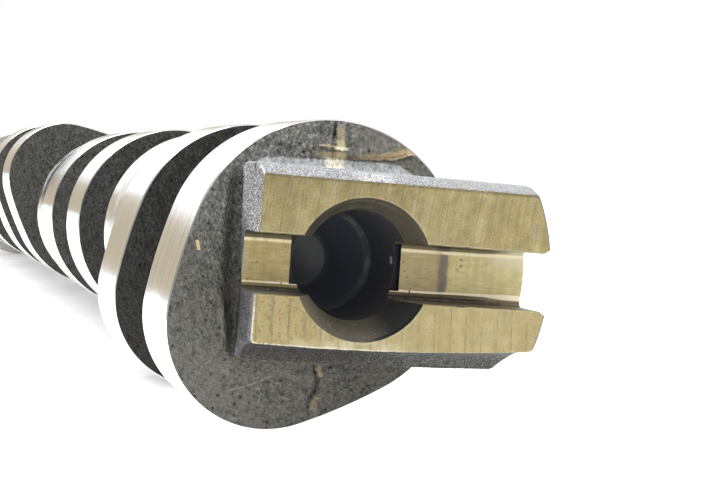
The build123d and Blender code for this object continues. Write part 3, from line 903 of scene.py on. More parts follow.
# ground bands: bright, fine grinding lines round the shaft
n = Nodes("ground_iron")
mm, x, u, v = dog_axes(n)
_, y_, z_ = n.sep(mm)
lines = n.noise(n.comb(n.mul(x, 4.5), n.mul(y_, 0.04), n.mul(z_, 0.04)), 1.0, 5, 0.75)
hair = n.noise(n.comb(n.mul(x, 14.0), n.mul(y_, 0.10), n.mul(z_, 0.10)), 1.0, 3, 0.7)
blot = n.noise(mm, 0.25, 3, 0.6)
col = n.ramp(n.math("ADD", n.mul(lines, 0.55), n.mul(hair, 0.45)), [(0.36, (0.56, 0.56, 0.555)), (0.48, (0.80, 0.80, 0.795)), (0.60, (0.95, 0.95, 0.945))])
# bearing journals: stained where oil dried on them
jm = None
for xj in JOURNALS:
    b = n.band(x, xj - JW + 0.3, xj - 0.3, 0.2)
    jm = b if jm is None else n.math("MAXIMUM", jm, b)
stain = n.mul(jm, patches(n, mm, 0.16, 0.40, 0.72, 3.0, 0.6))
col = n.mix(n.mul(stain, 0.42), col, (0.30, 0.29, 0.285))
n.set(Base_Color=col, Metallic=1.0)
n.set(Roughness=n.math("ADD", n.mapr(hair, 0.3, 0.7, 0.090, 0.155), n.mapr(stain, 0.0, 1.0, 0.0, 0.22)))
n.set(Normal=n.bump(lines, 0.20, 0.000012))
M_GROUND = n.mat

# milled dog face: tan iron with face-mill arcs
n = Nodes("milled_iron")
mm, x, u, v = dog_axes(n)
v1 = n.math("ADD", v, 1.5)
du = n.math("SUBTRACT", u, n.mul(n.mul(v1, v1), 0.0055))
wav = n.math("SUBTRACT", n.noise(n.comb(n.mul(du, 0.35), n.mul(v, 0.12), 1.0), 1.0, 2, 0.5), 0.5)
dw = n.math("ADD", du, n.mul(wav, 0.45))
ph = n.math("FRACT", n.math("ADD", n.mul(n.math("SUBTRACT", dw, 6.95), 1 / 1.897), 20.5))
dist = n.mul(n.math("ABSOLUTE", n.math("SUBTRACT", ph, 0.5)), 1.897)
brk = n.noise(n.comb(n.mul(du, 0.8), n.mul(v, 0.45), 5.0), 1.0, 2, 0.6)
arc = n.mul(n.mapr(dist, 0.12, 0.01), n.mapr(brk, 0.34, 0.56, 0.10, 1.0), n.mapr(v, 3.0, -3.0, 0.42, 1.0))
fray = n.noise(n.comb(n.mul(dw, 5.0), n.mul(v, 0.22), 0.0), 1.0, 3, 0.7)
step = n.noise(n.comb(n.mul(dw, 0.75), n.mul(v, 0.05), 3.0), 1.0, 2, 0.6)
blot = n.noise(mm, 0.55, 3, 0.65)
speck = n.noise(mm, 5.0, 3, 0.7)
tone = n.math("ADD", n.mul(fray, 0.13), n.math("ADD", n.mul(blot, 0.27), n.math("ADD", n.mul(speck, 0.34), n.mul(step, 0.26))))
col = n.ramp(tone, [(0.38, (0.198, 0.158, 0.063)), (0.50, (0.290, 0.238, 0.103)), (0.60, (0.405, 0.347, 0.183))])
gold = n.mapr(n.noise(mm, 0.9, 2, 0.6), 0.50, 0.68)
col = n.mix(n.mul(gold, 0.38), col, (0.360, 0.285, 0.115))
grey = n.mapr(n.noise(n.vmath("ADD", mm, (31.0, 7.0, 3.0)), 0.45, 2, 0.6), 0.52, 0.68)
col = n.mix(n.mul(grey, 0.30), col, (0.250, 0.220, 0.150))
col = n.mix(n.mul(arc, 0.72), col, (0.120, 0.098, 0.045))
thin = n.mul(n.mapr(n.math("ABSOLUTE", n.math("SUBTRACT", dist, 0.22)), 0.10, 0.0), n.mapr(brk, 0.60, 0.42), n.mapr(v, -3.0, 3.0))
col = n.mix(n.mul(thin, 0.09), col, (0.62, 0.56, 0.36))
lowj = n.mapr(v, 2.5, -3.5)
col = n.mix(n.mul(lowj, n.mapr(u, 4.0, -2.0, 1.0, 0.75), 0.22), col, (0.400, 0.340, 0.180))
lowl = n.mul(n.mapr(v, -2.5, -3.6), n.mapr(u, 3.0, -3.0))
rust = n.mul(lowl, n.mapr(n.noise(mm, 2.2, 2, 0.6), 0.50, 0.66))
col = n.mix(n.mul(rust, 0.75), col, (0.200, 0.135, 0.048))
rust2 = n.mul(lowl, n.mapr(n.noise(mm, 1.1, 2, 0.6), 0.47, 0.62))
col = n.mix(n.mul(rust2, 0.35), col, (0.300, 0.225, 0.090))
for uc, vc0, vc1, w_ in ((-10.35, -3.6, -7.6, 0.16), (-8.2, -3.4, -8.0, 0.12), (-6.5, -5.6, -7.2, 0.14), (-4.5, -6.8, -8.4, 0.10)):
    sm = n.mul(n.line(n.math("ADD", dw, n.mul(n.math("SUBTRACT", blot, 0.5), 0.9)), uc, w_ * 0.4, w_ * 2.0), n.band(v, vc1, vc0, 1.1), n.mapr(blot, 0.34, 0.58))
    col = n.mix(n.mul(sm, 0.42), col, (0.120, 0.105, 0.070))
# bright burrs along the edges, partly painted highlights where they catch the light; a dark one under the cast top
eb = n.math("ADD", n.math("SUBTRACT", v, n.mul(n.mul(n.math("ADD", u, 1.5), n.math("ADD", u, 1.5)), 0.00175)), 8.94)
rag = n.noise(n.comb(n.mul(u, 1.7), n.mul(v, 1.7), 9.0), 1.0, 3, 0.7)
jag = n.math("SUBTRACT", n.noise(n.comb(n.mul(u, 3.4), n.mul(v, 3.4), 2.0), 1.0, 2, 0.6), 0.5)
b1 = n.mul(n.mapr(n.math("ADD", eb, n.mul(jag, 0.40)), 0.27, 0.09), n.mapr(rag, 0.38, 0.56, 0.10, 1.0), n.mapr(u, 7.0, 1.0, 0.10, 1.0))
b2 = n.mul(n.mapr(n.math("ADD", n.math("ADD", u, 12.25), n.mul(jag, 0.40)), 0.24, 0.06), n.mapr(rag, 0.36, 0.54, 0.15, 1.0), n.mapr(v, -2.5, -3.2))
b3 = n.mul(n.line(v, -3.40, 0.03, 0.12), n.mapr(rag, 0.42, 0.58, 0.15, 0.9))
b4 = n.mul(n.line(v, 3.42, 0.03, 0.11), n.mapr(rag, 0.36, 0.56, 0.25, 0.9), n.mapr(u, 18.5, 14.0, 0.2, 1.0))
rr = n.vmath("LENGTH", n.comb(0.0, u, v))
b5 = n.mul(n.line(n.vmath("LENGTH", n.comb(0.0, n.math("SUBTRACT", u, 0.06), v)), 8.17, 0.02, 0.10), n.mapr(rag, 0.40, 0.60, 0.0, 0.35), n.mapr(u, -6.0, 3.0, 0.4, 1.0))
burr_and_highlight = n.math("MAXIMUM", n.math("MAXIMUM", n.math("MAXIMUM", b1, b2), n.math("MAXIMUM", b3, b4)), b5)
worn = n.mul(n.mapr(n.math("ADD", eb, n.mul(jag, 0.5)), 1.5, 0.2), n.band(u, -7.5, 5.5, 2.2), n.mapr(blot, 0.36, 0.60, 0.35, 1.0))
col = n.mix(n.mul(worn, 0.34), col, (0.62, 0.58, 0.44))
col = n.mix(n.mul(burr_and_highlight, n.mapr(u, -11.0, -12.1, 0.70, 0.85)), col, (0.66, 0.63, 0.51))
tv = n.math("SUBTRACT", v, n.math("SUBTRACT", 9.86, n.mul(n.math("SUBTRACT", 20.2, u), 0.0078)))
td = n.mul(n.mapr(n.math("ADD", tv, n.mul(jag, 0.25)), -0.26, -0.10), n.mapr(rag, 0.36, 0.56, 0.25, 1.0))
col = n.mix(n.mul(td, 0.42), col, (0.095, 0.085, 0.052))
re = n.mapr(rr, END_R - 0.34, END_R - 0.20)
col = n.mix(n.mul(re, 0.85), col, (0.20, 0.20, 0.185))
# painted shade: the face darker towards the top, less so to the upper right
face_painted_shading = n.mix(n.mapr(v, -2.0, 3.5), (0.96, 0.96, 0.96), (0.80, 0.80, 0.80))
face_painted_shading = n.mix(n.mul(n.mapr(v, -2.0, 3.5), n.mapr(u, 2.0, 12.0)), face_painted_shading, (0.92, 0.92, 0.92))
col = n.mix(1.0, col, face_painted_shading, "MULTIPLY")
n.set(Base_Color=col, Metallic=0.45)
n.set(Roughness=n.mapr(fray, 0.3, 0.7, 0.42, 0.55))
hh = n.math("ADD", n.mul(fray, 0.25), n.mul(speck, 0.40))
hh = n.math("SUBTRACT", hh, n.mul(arc, 0.7))
n.set(Normal=n.bump(hh, 0.45, 0.00006))
M_MILLED = n.mat

# centre bore: scraped mouth, dark wall, lighter step, blue-black taper, dull grey end
n = Nodes("bored_iron")
mm, x, u, v = dog_axes(n)
rings = n.noise(n.comb(n.mul(x, 5.0), n.mul(u, 0.10), n.mul(v, 0.10)), 1.0, 3, 0.6)
blot = n.noise(mm, 0.45, 3, 0.6)
speck = n.noise(mm, 4.0, 3, 0.7)
mouth = n.ramp(n.math("ADD", n.mul(rings, 0.35), n.math("ADD", n.mul(blot, 0.35), n.mul(speck, 0.30))),
               [(0.36, (0.022, 0.020, 0.014)), (0.50, (0.046, 0.041, 0.029)), (0.64, (0.092, 0.083, 0.060))])
radm = n.vmath("LENGTH", n.comb(0.0, n.math("SUBTRACT", u, 0.06), v))
mouth = n.mix(n.mul(n.mapr(v, 0.0, -5.0), n.mapr(radm, 6.1, 7.7, 0.30, 0.74)), mouth, (0.150, 0.137, 0.103))
white = n.mul(n.mapr(v, -4.5, -6.0), n.mapr(n.noise(mm, 3.2, 1, 0.5), 0.695, 0.735))
mouth = n.mix(n.mul(white, 0.45), mouth, (0.50, 0.48, 0.42))
mouth = n.mix(n.mul(n.mapr(u, 3.0, 6.5), 0.35), mouth, (0.020, 0.019, 0.016))
# painted light on the mouth's lower left, painted shade on its lower right
mouth_painted_light = n.mul(n.mapr(u, -1.0, -7.5), n.mapr(v, 1.0, -4.5))
mouth = n.mix(n.mul(mouth_painted_light, 0.45), mouth, (0.215, 0.188, 0.122))
mouth_painted_shade = n.mul(n.mapr(u, 0.8, 4.6), n.mapr(v, -0.8, -3.2))
mouth = n.mix(n.mul(mouth_painted_shade, 0.92), mouth, (0.012, 0.012, 0.014))
rimd = n.mul(n.mapr(radm, 7.70, 7.88), n.mapr(u, 0.5, 3.5), n.mapr(v, -2.0, -4.0))
mouth = n.mix(n.mul(rimd, 0.85), mouth, (0.006, 0.006, 0.006))
brn = n.mul(n.mapr(u, 1.0, 6.0), n.mapr(v, 1.0, 4.5), n.mapr(speck, 0.3, 0.7, 0.5, 0.8))
mouth = n.mix(brn, mouth, (0.072, 0.062, 0.040))
xs = n.t.nodes.new("ShaderNodeMapRange")
xs.inputs[1].default_value = -32.0
xs.inputs[2].default_value = 0.0
n.link(x, xs.inputs[0])
deep = n.ramp(xs.outputs[0], [
    (0.0, (0.31, 0.308, 0.31)), ((32 - 25.6) / 32, (0.31, 0.308, 0.31)), ((32 - 23.6) / 32, (0.145, 0.160, 0.190)), ((32 - 17.5) / 32, (0.105, 0.120, 0.155)),
    ((32 - 17.0) / 32, (0.120, 0.122, 0.130)), ((32 - 16.0) / 32, (0.120, 0.122, 0.130)), ((32 - 15.4) / 32, (0.088, 0.091, 0.101)), ((32 - 8.0) / 32, (0.063, 0.063, 0.067)), (1.0, (0.040, 0.039, 0.039))])
lipn = n.noise(n.comb(x, n.mul(u, 0.55), n.mul(v, 0.55)), 1.0, 2, 0.6)
lip = n.mul(n.band(x, -16.85, -16.05, 0.28), n.mapr(lipn, 0.38, 0.62), n.mapr(v, -5.5, -1.0, 0.15, 1.0))
deep = n.mix(n.mul(lip, 0.62), deep, (0.300, 0.300, 0.305))
fadeb = n.mul(n.mapr(x, -24.2, -25.2), n.mapr(n.math("ADD", n.mul(u, 0.7), v), 2.2, -2.8))
deep = n.mix(n.mul(fadeb, 0.85), deep, (0.130, 0.135, 0.152))
# the ring around the hole behind the slot's floor lies in its own shadow
radh = n.vmath("LENGTH", n.comb(0.0, n.math("ADD", u, 0.08), n.math("SUBTRACT", v, 0.325)))
ringd = n.mul(n.mapr(radh, 6.31, 6.345), n.mapr(x, -4.8, -5.4), n.mapr(x, -8.2, -7.7))
deep = n.mix(ringd, deep, (0.013, 0.012, 0.017))
# the conical mouth where the radius matches its 60 degree slope, the drilled wall elsewhere
cone_x = n.mul(n.math("SUBTRACT", radm, 8.02), 1.7321)
on_cone = n.mul(n.mapr(n.math("ABSOLUTE", n.math("SUBTRACT", x, cone_x)), 0.16, 0.08), n.mapr(x, -4.3, -4.1))
on_cone = n.math("MAXIMUM", on_cone, n.mapr(x, -0.30, -0.15))
col = n.mix(on_cone, deep, mouth)
front = n.mapr(x, -200.0, -100.0)
fleck = n.mul(n.line(x, -8.6, 0.22, 0.30), n.line(v, 1.0, 0.30, 0.25), n.mapr(u, 4.0, 6.0))
col = n.mix(n.mul(fleck, 0.9), col, (0.50, 0.51, 0.50))
col = n.mix(front, (0.16, 0.155, 0.145), col)
n.set(Base_Color=col, Metallic=0.2, Specular_IOR_Level=0.25)
n.set(Roughness=n.mapr(speck, 0.3, 0.7, 0.50, 0.62))
n.set(Normal=n.bump(n.math("ADD", n.mul(rings, 0.5), n.mul(speck, 0.4)), 0.4, 0.00007))
M_BORED = n.mat

# slot: floor and walls milled along the slot
n = Nodes("slot_iron")
mm, x, u, v = dog_axes(n)
grain = n.noise(n.comb(n.mul(x, 2.2), n.mul(u, 0.5), n.mul(v, 3.0)), 1.0, 4, 0.65)
cross = n.noise(n.comb(0.0, n.mul(u, 1.3), n.mul(v, 0.15)), 1.0, 3, 0.6)
blot = n.noise(mm, 0.6, 3, 0.6)
speck = n.noise(mm, 5.0, 2, 0.7)
t = n.math("ADD", n.math("ADD", n.mul(grain, 0.35), n.mul(cross, 0.25)), n.math("ADD", n.mul(blot, 0.2), n.mul(speck, 0.2)))
tan = n.ramp(t, [(0.36, (0.205, 0.160, 0.062)), (0.50, (0.294, 0.232, 0.095)), (0.62, (0.390, 0.322, 0.160))])
pink = n.ramp(t, [(0.36, (0.222, 0.172, 0.082)), (0.50, (0.300, 0.240, 0.118)), (0.62, (0.390, 0.322, 0.175))])
green = n.ramp(t, [(0.36, (0.330, 0.272, 0.118)), (0.50, (0.425, 0.362, 0.168)), (0.62, (0.540, 0.475, 0.250))])
col = n.mix(n.mapr(u, 0.0, 2.0), tan, pink)
col = n.mix(n.mapr(u, 11.8, 12.6), col, green)
# heat tint across the floor, soft grey stripes beyond it
lean = n.math("ADD", u, n.mul(n.math("SUBTRACT", blot, 0.5), 0.5))
tint = n.mul(n.mapr(lean, 11.15, 11.7), n.mapr(lean, 12.75, 12.25))
col = n.mix(n.mul(tint, 0.88), col, (0.110, 0.094, 0.083))
for uc, w, a in ((16.2, 0.35, 0.42), (17.4, 0.28, 0.36), (18.2, 0.30, 0.20), (21.2, 0.8, 0.25)):
    col = n.mix(n.mul(n.line(lean, uc, w * 0.3, w), n.mapr(v, -3.0, 1.0), a), col, (0.300, 0.285, 0.175))
pale = n.mul(n.mapr(u, 16.5, 19.5), n.mapr(v, 0.2, 2.2))
col = n.mix(n.mul(pale, 0.55), col, (0.52, 0.50, 0.37))
# floor fillets: a painted cream highlight along the upper one, painted shadow of the upper jaw above it; a painted
# highlight line then painted shade along the lower
fl = n.mapr(x, -5.2, -5.7)
vh = n.math("SUBTRACT", v, n.curve(u, [(-14.0, -0.06), (-10.0, -0.02), (7.0, 0.0), (16.5, 0.04), (19.0, 0.16), (22.5, 0.18)]))
hi = n.mul(fl, n.band(vh, 2.18, 2.50, 0.16), n.mapr(cross, 0.30, 0.60, 0.55, 0.95))
col = n.mix(hi, col, (0.66, 0.58, 0.37))
# painted shadow of the upper jaw on the upper fillet
hidden_shade = n.mul(n.mapr(vh, 2.50, 2.64), n.mapr(x, -3.0, -5.0))
col = n.mix(n.mul(hidden_shade, n.mapr(u, 17.5, 21.5, 0.92, 0.30)), col, n.mix(n.mapr(u, -9.0, 6.0), (0.042, 0.033, 0.015), (0.078, 0.061, 0.026)))
# the heat tint where it runs through that painted shadow
stain = n.mul(hidden_shade, n.band(lean, 11.0, 12.6, 0.3))
col = n.mix(n.mul(stain, 0.8), col, (0.030, 0.026, 0.022))
side_ = n.mul(n.mapr(u, -11.5, -12.1), n.mapr(x, -5.6, -6.3), n.band(v, -1.9, 1.5, 0.6))
col = n.mix(n.mul(side_, 0.7), col, (0.265, 0.225, 0.165))
# from the floor outwards: a painted highlight line, brown, painted shade in a crease, then the grey wall
line_at = n.curve(u, [(-14.0, -2.44), (-7.0, -2.42), (7.0, -2.40), (10.0, -2.40), (14.0, -2.32), (17.5, -2.30), (19.5, -2.38), (22.5, -2.40)])
line_w = n.curve(u, [(-14.0, 0.06), (10.0, 0.08), (14.0, 0.07), (17.5, 0.12), (20.0, 0.26), (22.5, 0.27)])
off = n.math("SUBTRACT", v, line_at)
lo = n.mul(fl, n.mapr(n.math("SUBTRACT", n.math("ABSOLUTE", off), line_w), 0.10, 0.0), n.mapr(speck, 0.3, 0.5, 0.75, 1.0))
below = n.mul(n.mapr(n.math("ADD", off, line_w), -0.02, -0.12), n.mapr(x, -3.0, -5.0))
brown = n.mix(n.mapr(u, -9.0, 5.0), (0.165, 0.128, 0.062), (0.060, 0.046, 0.020))
brown = n.mix(n.mapr(u, 14.5, 19.5), brown, (0.170, 0.140, 0.080))
col = n.mix(n.mul(below, 0.92), col, brown)
crease_shade = n.mul(n.line(v, -2.98, 0.07, 0.10), n.mapr(x, -4.6, -5.4), n.mapr(u, 18.4, 16.4, 0.12, 1.0))
col = n.mix(n.mul(crease_shade, 0.85), col, (0.026, 0.021, 0.013))
wallm = n.mul(n.mapr(v, -3.04, -3.12), n.mapr(x, -0.10, -0.30))
grit = n.noise(mm, 2.4, 3, 0.7)
wallc = n.ramp(grit, [(0.36, (0.050, 0.048, 0.040)), (0.52, (0.105, 0.102, 0.088)), (0.66, (0.230, 0.225, 0.200))])
wallc = n.mix(n.mul(n.mapr(u, 4.0, 9.0), n.mapr(u, 19.5, 17.0)), wallc, n.ramp(grit, [(0.36, (0.042, 0.038, 0.031)), (0.52, (0.096, 0.088, 0.071)), (0.66, (0.205, 0.190, 0.158))]))
wallc = n.mix(n.mapr(u, 18.6, 20.0), wallc, (0.200, 0.175, 0.115))
col = n.mix(n.mul(wallm, 0.94), col, wallc)
glow = n.mul(n.line(v, -3.16, 0.03, 0.06), n.mapr(grit, 0.30, 0.62, 0.35, 0.65), n.band(u, 8.2, 17.5, 1.5), n.mapr(x, -4.8, -5.6))
col = n.mix(n.mul(glow, 0.7), col, (0.32, 0.295, 0.24))
# painted highlight line along the lower fillet
col = n.mix(n.mul(lo, 0.92), col, n.mix(n.mapr(u, -9.8, -9.2), (0.70, 0.60, 0.38), (0.78, 0.69, 0.52)))
tick = n.mul(fl, n.line(u, 8.0, 0.05, 0.10), n.band(v, -2.70, -2.20, 0.15))
col = n.mix(n.mul(tick, 0.9), col, (0.040, 0.024, 0.014))
# painted shade on the upper wall, which faces down
upper_wall_shade = n.mul(n.mapr(v, 3.2, 3.3), n.mapr(x, -5.5, -3.0))
col = n.mix(n.mul(upper_wall_shade, 0.6), col, (0.160, 0.130, 0.065))
# small pits
for pu, pv, r in ((14.13, 1.71, 0.15), (14.19, 1.0, 0.16), (13.73, 0.5, 0.10), (7.02, 0.98, 0.10), (7.24, -0.06, 0.10), (7.56, -0.74, 0.08),
                  (-10.55, -0.24, 0.13), (-11.53, -2.23, 0.12), (-7.54, -2.42, 0.10), (19.35, -3.06, 0.20), (8.9, -2.6, 0.09), (12.0, -0.05, 0.12)):
    d = n.vmath("LENGTH", n.comb(n.math("SUBTRACT", u, pu), n.math("SUBTRACT", v, pv), 0.0))
    col = n.mix(n.mul(n.mapr(n.math("ADD", d, n.mul(n.math("SUBTRACT", speck, 0.5), 0.35)), r + 0.12, r - 0.06), 0.7), col, (0.130, 0.075, 0.034))
n.set(Base_Color=col, Metallic=0.45)
n.set(Roughness=n.mapr(t, 0.3, 0.7, 0.36, 0.50))
n.set(Normal=n.bump(t, 0.35, 0.00005))
M_SLOT = n.mat

# turned surfaces of the front end
n = Nodes("turned_iron")
mm, x, u, v = dog_axes(n)
rad = n.vmath("LENGTH", n.comb(0.0, u, v))
lines = n.noise(n.comb(n.mul(x, 5.0), n.mul(rad, 5.0), 0.0), 1.0, 3, 0.6)
n.set(Base_Color=n.ramp(lines, [(0.3, (0.40, 0.385, 0.35)), (0.7, (0.62, 0.60, 0.56))]), Metallic=1.0)
n.set(Roughness=n.mapr(lines, 0.3, 0.7, 0.26, 0.40))
n.set(Normal=n.bump(lines, 0.4, 0.00005))
M_TURNED = n.mat

MATS = [M_CAST, M_BLOCK, M_GROUND, M_MILLED, M_BORED, M_SLOT, M_TURNED]

casting = new_mesh("camshaft_casting", co, faces, mats, MATS)

# ---------------------------------------------------------------------------
# the drive slot and the centre bore are cut out of it
# ---------------------------------------------------------------------------
def slot_cutter():
    sec = [(3.0, 3.70), (0.03, 3.49), (-0.14, 3.325), (-5.8, 3.325)]
    for a in range(15, 90, 15):
        c = math.radians(a)
        sec.append((-5.8 - 0.7 * math.sin(c), 2.625 + 0.7 * math.cos(c)))
    sec += [(-6.5, 2.625), (-6.5, 1.6), (-6.5, 0.5)]
    half = np.array(sec)
    sec = np.concatenate([half, half[::-1] * [1, -1]])
    us = np.r_[np.linspace(-16, 21.5, 110), 21.75, 21.95, 22.15, 22.35, 22.6, 23.2, 26, 32]
    vs, fs = [], []
    m = len(sec)
    for u in us:
        x = sec[:, 0].copy()
        v = sec[:, 1].copy()
        flare = 0.38 * smooth(21.75, 22.4, u) * (x > -5.9)
        sgn = np.sign(v)
        rough = 0.022 * fbm(u, sgn * 5, x, 0.8, 2, 201) * (x > -0.3)
        floor = 0.015 * fbm(u, v, 0, 3.0, 2, 205) * (x < -6.3)
        v = v + sgn * (flare + rough)
        y, z = yz(u + 0 * v, v)
        vs.append(np.c_[x + floor, y, z])
    for i in range(len(us) - 1):
        for k in range(m):
            k2 = (k + 1) % m
            fs.append((i * m + k, i * m + k2, (i + 1) * m + k2, (i + 1) * m + k))
    fs.append(tuple(range(m))[::-1])
    fs.append(tuple(range((len(us) - 1) * m, len(us) * m)))
    return np.concatenate(vs) * MM, fs, [SLOT] * len(fs)


MOUTH = [(2.0, 8.24), (0.03, 8.07), (-0.08, 7.97), (-1.1, 7.40), (-2.2, 6.77), (-3.3, 6.13), (-4.1, 5.67)]
HOLE = [(-1.0, 6.30), (-5.0, 6.30), (-9.0, 6.30), (-13.0, 6.30), (-15.9, 6.29), (-16.15, 6.20), (-16.7, 5.84), (-16.95, 5.74), (-19.0, 5.15),
        (-22.0, 4.33), (-24.6, 3.66), (-24.9, 3.52), (-25.8, 1.72), (-26.7, 0.12)]


def bore_cutter(prof, seed):
    m = 192
    a = np.arange(m) * 2 * math.pi / m
    vs, fs, ms = [], [], []
    for j, (x, r) in enumerate(prof):
        rr = r + 0 * a
        cu = cv = 0.0
        if seed:
            # off the axis at its mouth, back over it at its end, a rough lip at the step
            cu = -0.08 - 0.35 * float(smooth(-17.0, -24.5, x))
            cv = 0.36 - 0.16 * float(smooth(-3.0, -16.5, x)) - 0.45 * float(smooth(-17.0, -24.5, x))
            rr = rr + 0.10 * float(np.exp(-((x + 16.4) / 0.5)**2)) * fbm(np.cos(a) * 6, np.sin(a) * 6, 0, 1.6, 2, seed)
        else:
            cu = 0.06
        if not seed and j in (1, 2):
            rr = rr + 0.02 * fbm(np.cos(a) * 8, np.sin(a) * 8, 0, 0.9, 2, 211)
        y, z = yz(cu + rr * np.cos(a), cv + rr * np.sin(a))
        vs.append(np.c_[np.full(m, x), y, z])
    for j in range(len(prof) - 1):
        for k in range(m):
            k2 = (k + 1) % m
            fs.append((j * m + k, j * m + k2, (j + 1) * m + k2, (j + 1) * m + k))
    fs.append(tuple(range(m))[::-1])
    fs.append(tuple(range((len(prof) - 1) * m, len(prof) * m)))
    return np.concatenate(vs) * MM, fs, [BORED] * len(fs)


def notch_cutter():
    """The slot's floor stops in straight lines just outside the bore."""
    vs = []
    for x in (-5.9, -7.3):
        for (u, v) in ((-6.66, -2.45), (6.64, -2.45), (6.54, 3.02), (-6.76, 3.02)):
            y, z = yz(u, v)
            vs.append((x, y, z))
    fs = [(0, 1, 2, 3), (7, 6, 5, 4)] + [(k, 4 + k, 4 + (k + 1) % 4, (k + 1) % 4) for k in range(4)]
    return np.array(vs) * MM, fs, [BORED] * len(fs)


import bmesh


def fix_normals(ob):
    bm = bmesh.new()
    bm.from_mesh(ob.data)
    bmesh.ops.recalc_face_normals(bm, faces=bm.faces[:])
    vol = bm.calc_volume(signed=True)
    if vol < 0:
        bmesh.ops.reverse_faces(bm, faces=bm.faces[:])
    bm.to_mesh(ob.data)
    bm.free()


fix_normals(casting)
cutters = []
for name, maker in (("slot_cut", slot_cutter), ("mouth_cut", lambda: bore_cutter(MOUTH, 0)), ("hole_cut", lambda: bore_cutter(HOLE, 213)),
                    ("notch_cut", notch_cutter)):
    c, f, m = maker()
    ob = new_mesh(name, c, f, m, MATS)
    fix_normals(ob)
    cutters.append(ob)
    mod = casting.modifiers.new(name, "BOOLEAN")
    mod.operation = "DIFFERENCE"
    mod.solver = "EXACT"
    mod.object = ob
    mod.material_mode = "INDEX"
dg = bpy.context.evaluated_depsgraph_get()
me = bpy.data.meshes.new_from_object(casting.evaluated_get(dg))
casting.modifiers.clear()
old = casting.data
casting.data = me
me.name = "camshaft_casting"
bpy.data.meshes.remove(old)
for ob in cutters:
    bpy.data.objects.remove(ob)

# shading: smooth, with true edges kept sharp
bm = bmesh.new()
bm.from_mesh(me)
bmesh.ops.remove_doubles(bm, verts=bm.verts[:], dist=2e-7)
bmesh.ops.dissolve_degenerate(bm, edges=bm.edges[:], dist=1e-7)
lim = math.radians(24)
for f in bm.faces:
    f.smooth = True
for e in bm.edges:
    if len(e.link_faces) == 2:
        a, b = e.link_faces
        sharp = e.calc_face_angle(0.0) > lim
        e.smooth = not sharp
print("manifold edges open:", sum(1 for e in bm.edges if not e.is_manifold))
bm.to_mesh(me)
print("triangles", sum(len(f.verts) - 2 for f in bm.faces))
bm.free()
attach(casting, "root")
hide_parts("camshaft")

# ---------------------------------------------------------------------------
# stage, light, camera
# ---------------------------------------------------------------------------
floor_z = -19.706 * MM
me = bpy.data.meshes.new("floor")
s = 0.9
me.from_pydata([(-s, -s, floor_z), (s, -s, floor_z), (s, s, floor_z), (-s, s, floor_z)], [], [(0, 1, 2, 3)])
floor = bpy.data.objects.new("floor", me)
bpy.context.scene.collection.objects.link(floor)
n = Nodes("pale_floor")
soft = n.noise(n.obj, 6.0, 2, 0.5)
n.set(Base_Color=n.ramp(soft, [(0.3, (0.86, 0.86, 0.865)), (0.7, (0.90, 0.90, 0.90))]), Roughness=0.8)
n.bsdf.inputs["Emission Color"].default_value = (1, 1, 1, 1)
fx, fy, _ = n.sep(n.obj)
# painted shadow: the floor's glow is turned down in a strip under the far shaft
floor_painted_shadow = n.mul(n.mapr(n.math("ABSOLUTE", n.math("ADD", fy, 0.003)), 0.0175, 0.0085), n.mapr(fx, -0.030, -0.062), n.mapr(fx, -0.400, -0.385))
n.link(n.mapr(floor_painted_shadow, 0.0, 1.0, 0.74, 0.16), n.bsdf.inputs["Emission Strength"])
me.materials.append(n.mat)

world = bpy.data.worlds.new("studio")
bpy.context.scene.world = world
world.use_nodes = True
wt = world.node_tree
wt.nodes.clear()
wo = wt.nodes.new("ShaderNodeOutputWorld")
tc = wt.nodes.new("ShaderNodeTexCoord")
sx = wt.nodes.new("ShaderNodeSeparateXYZ")
wt.links.new(tc.outputs["Generated"], sx.inputs[0])
lp = wt.nodes.new("ShaderNodeLightPath")


def wmap(a, b, c=0.0, d=1.0, src=None):
    m = wt.nodes.new("ShaderNodeMapRange")
    wt.links.new(src or sx.outputs[2], m.inputs[0])
    for i, q in enumerate((a, b, c, d)):
        m.inputs[i + 1].default_value = q
    return m.outputs[0]


def wmix(f, a, b):
    m = wt.nodes.new("ShaderNodeMix")
    m.data_type = "RGBA"
    for sock, q in ((m.inputs[0], f), (m.inputs[6], a), (m.inputs[7], b)):
        if isinstance(q, tuple):
            sock.default_value = (*q, 1)
        else:
            wt.links.new(q, sock)
    return m.outputs[2]


def wmul(a, b):
    m = wt.nodes.new("ShaderNodeMath")
    m.operation = "MULTIPLY"
    wt.links.new(a, m.inputs[0])
    wt.links.new(b, m.inputs[1])
    return m.outputs[0]


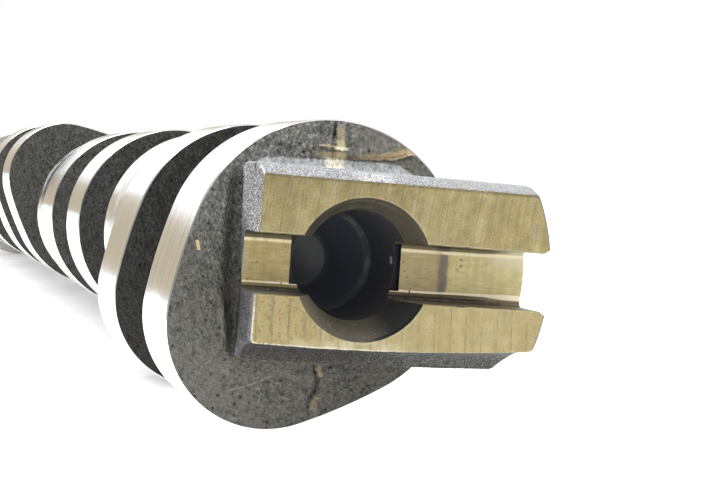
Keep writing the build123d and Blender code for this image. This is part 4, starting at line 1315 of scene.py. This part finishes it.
# what the ground bands mirror: a white studio with one tan strip along its foot
strip = wmul(wmap(0.004, 0.009), wmap(0.121, 0.115))
white = wmix(strip, (1.35, 1.36, 1.38), (0.575, 0.505, 0.38))
walls = wmix(wmap(0.02, 0.30), (0.74, 0.745, 0.75), (0.30, 0.305, 0.31))
walls = wmix(wmap(0.42, 0.80), walls, (1.02, 1.03, 1.05))
absx = wt.nodes.new("ShaderNodeMath")
absx.operation = "ABSOLUTE"
wt.links.new(sx.outputs[0], absx.inputs[0])
mirror = wmix(wmap(0.62, 0.80, src=absx.outputs[0]), walls, white)
# soft light, more of it from above
soft = wmix(wmap(0.0, 0.9), (0.62, 0.62, 0.625), (1.55, 1.56, 1.60))
seen = wmix(lp.outputs["Is Diffuse Ray"], mirror, soft)
seen = wmix(lp.outputs["Is Camera Ray"], seen, (1.0, 1.0, 1.0))
bg = wt.nodes.new("ShaderNodeBackground")
wt.links.new(seen, bg.inputs[0])
wt.links.new(bg.outputs[0], wo.inputs[0])


def area(name, loc, target, size, power, color=(1, 1, 1)):
    l = bpy.data.lights.new(name, "AREA")
    l.shape = "RECTANGLE"
    l.size, l.size_y = size
    l.energy = power
    l.color = color
    o = bpy.data.objects.new(name, l)
    bpy.context.scene.collection.objects.link(o)
    o.location = loc
    o.rotation_euler = (Vector(target) - Vector(loc)).to_track_quat("-Z", "Y").to_euler()
    return o


area("key_top", (-0.10, -0.30, 0.95), (-0.05, 0, 0), (0.9, 0.7), 5.0)

cam = bpy.data.cameras.new("camera")
cam.sensor_fit = "HORIZONTAL"
cam.sensor_width = 36.0
cam.lens = 1528.773 / 720 * 36.0
cam.clip_start = 0.01
cam.clip_end = 20
co_ = bpy.data.objects.new("camera", cam)
bpy.context.scene.collection.objects.link(co_)
right = Vector((0.31815, 0.94800, -0.00880))
up = Vector((-0.05415, 0.02744, 0.99816))
back = Vector((0.94649, -0.31709, 0.06006))
m = Matrix((( right.x, up.x, back.x, 0.15977), (right.y, up.y, back.y, -0.053982), (right.z, up.z, back.z, 0.01352), (0, 0, 0, 1)))
co_.matrix_world = m
bpy.context.scene.camera = co_

sc = bpy.context.scene
sc.view_settings.view_transform = "Standard"
sc.view_settings.look = "None"
sc.view_settings.exposure = 0.0
sc.view_settings.gamma = 1.0
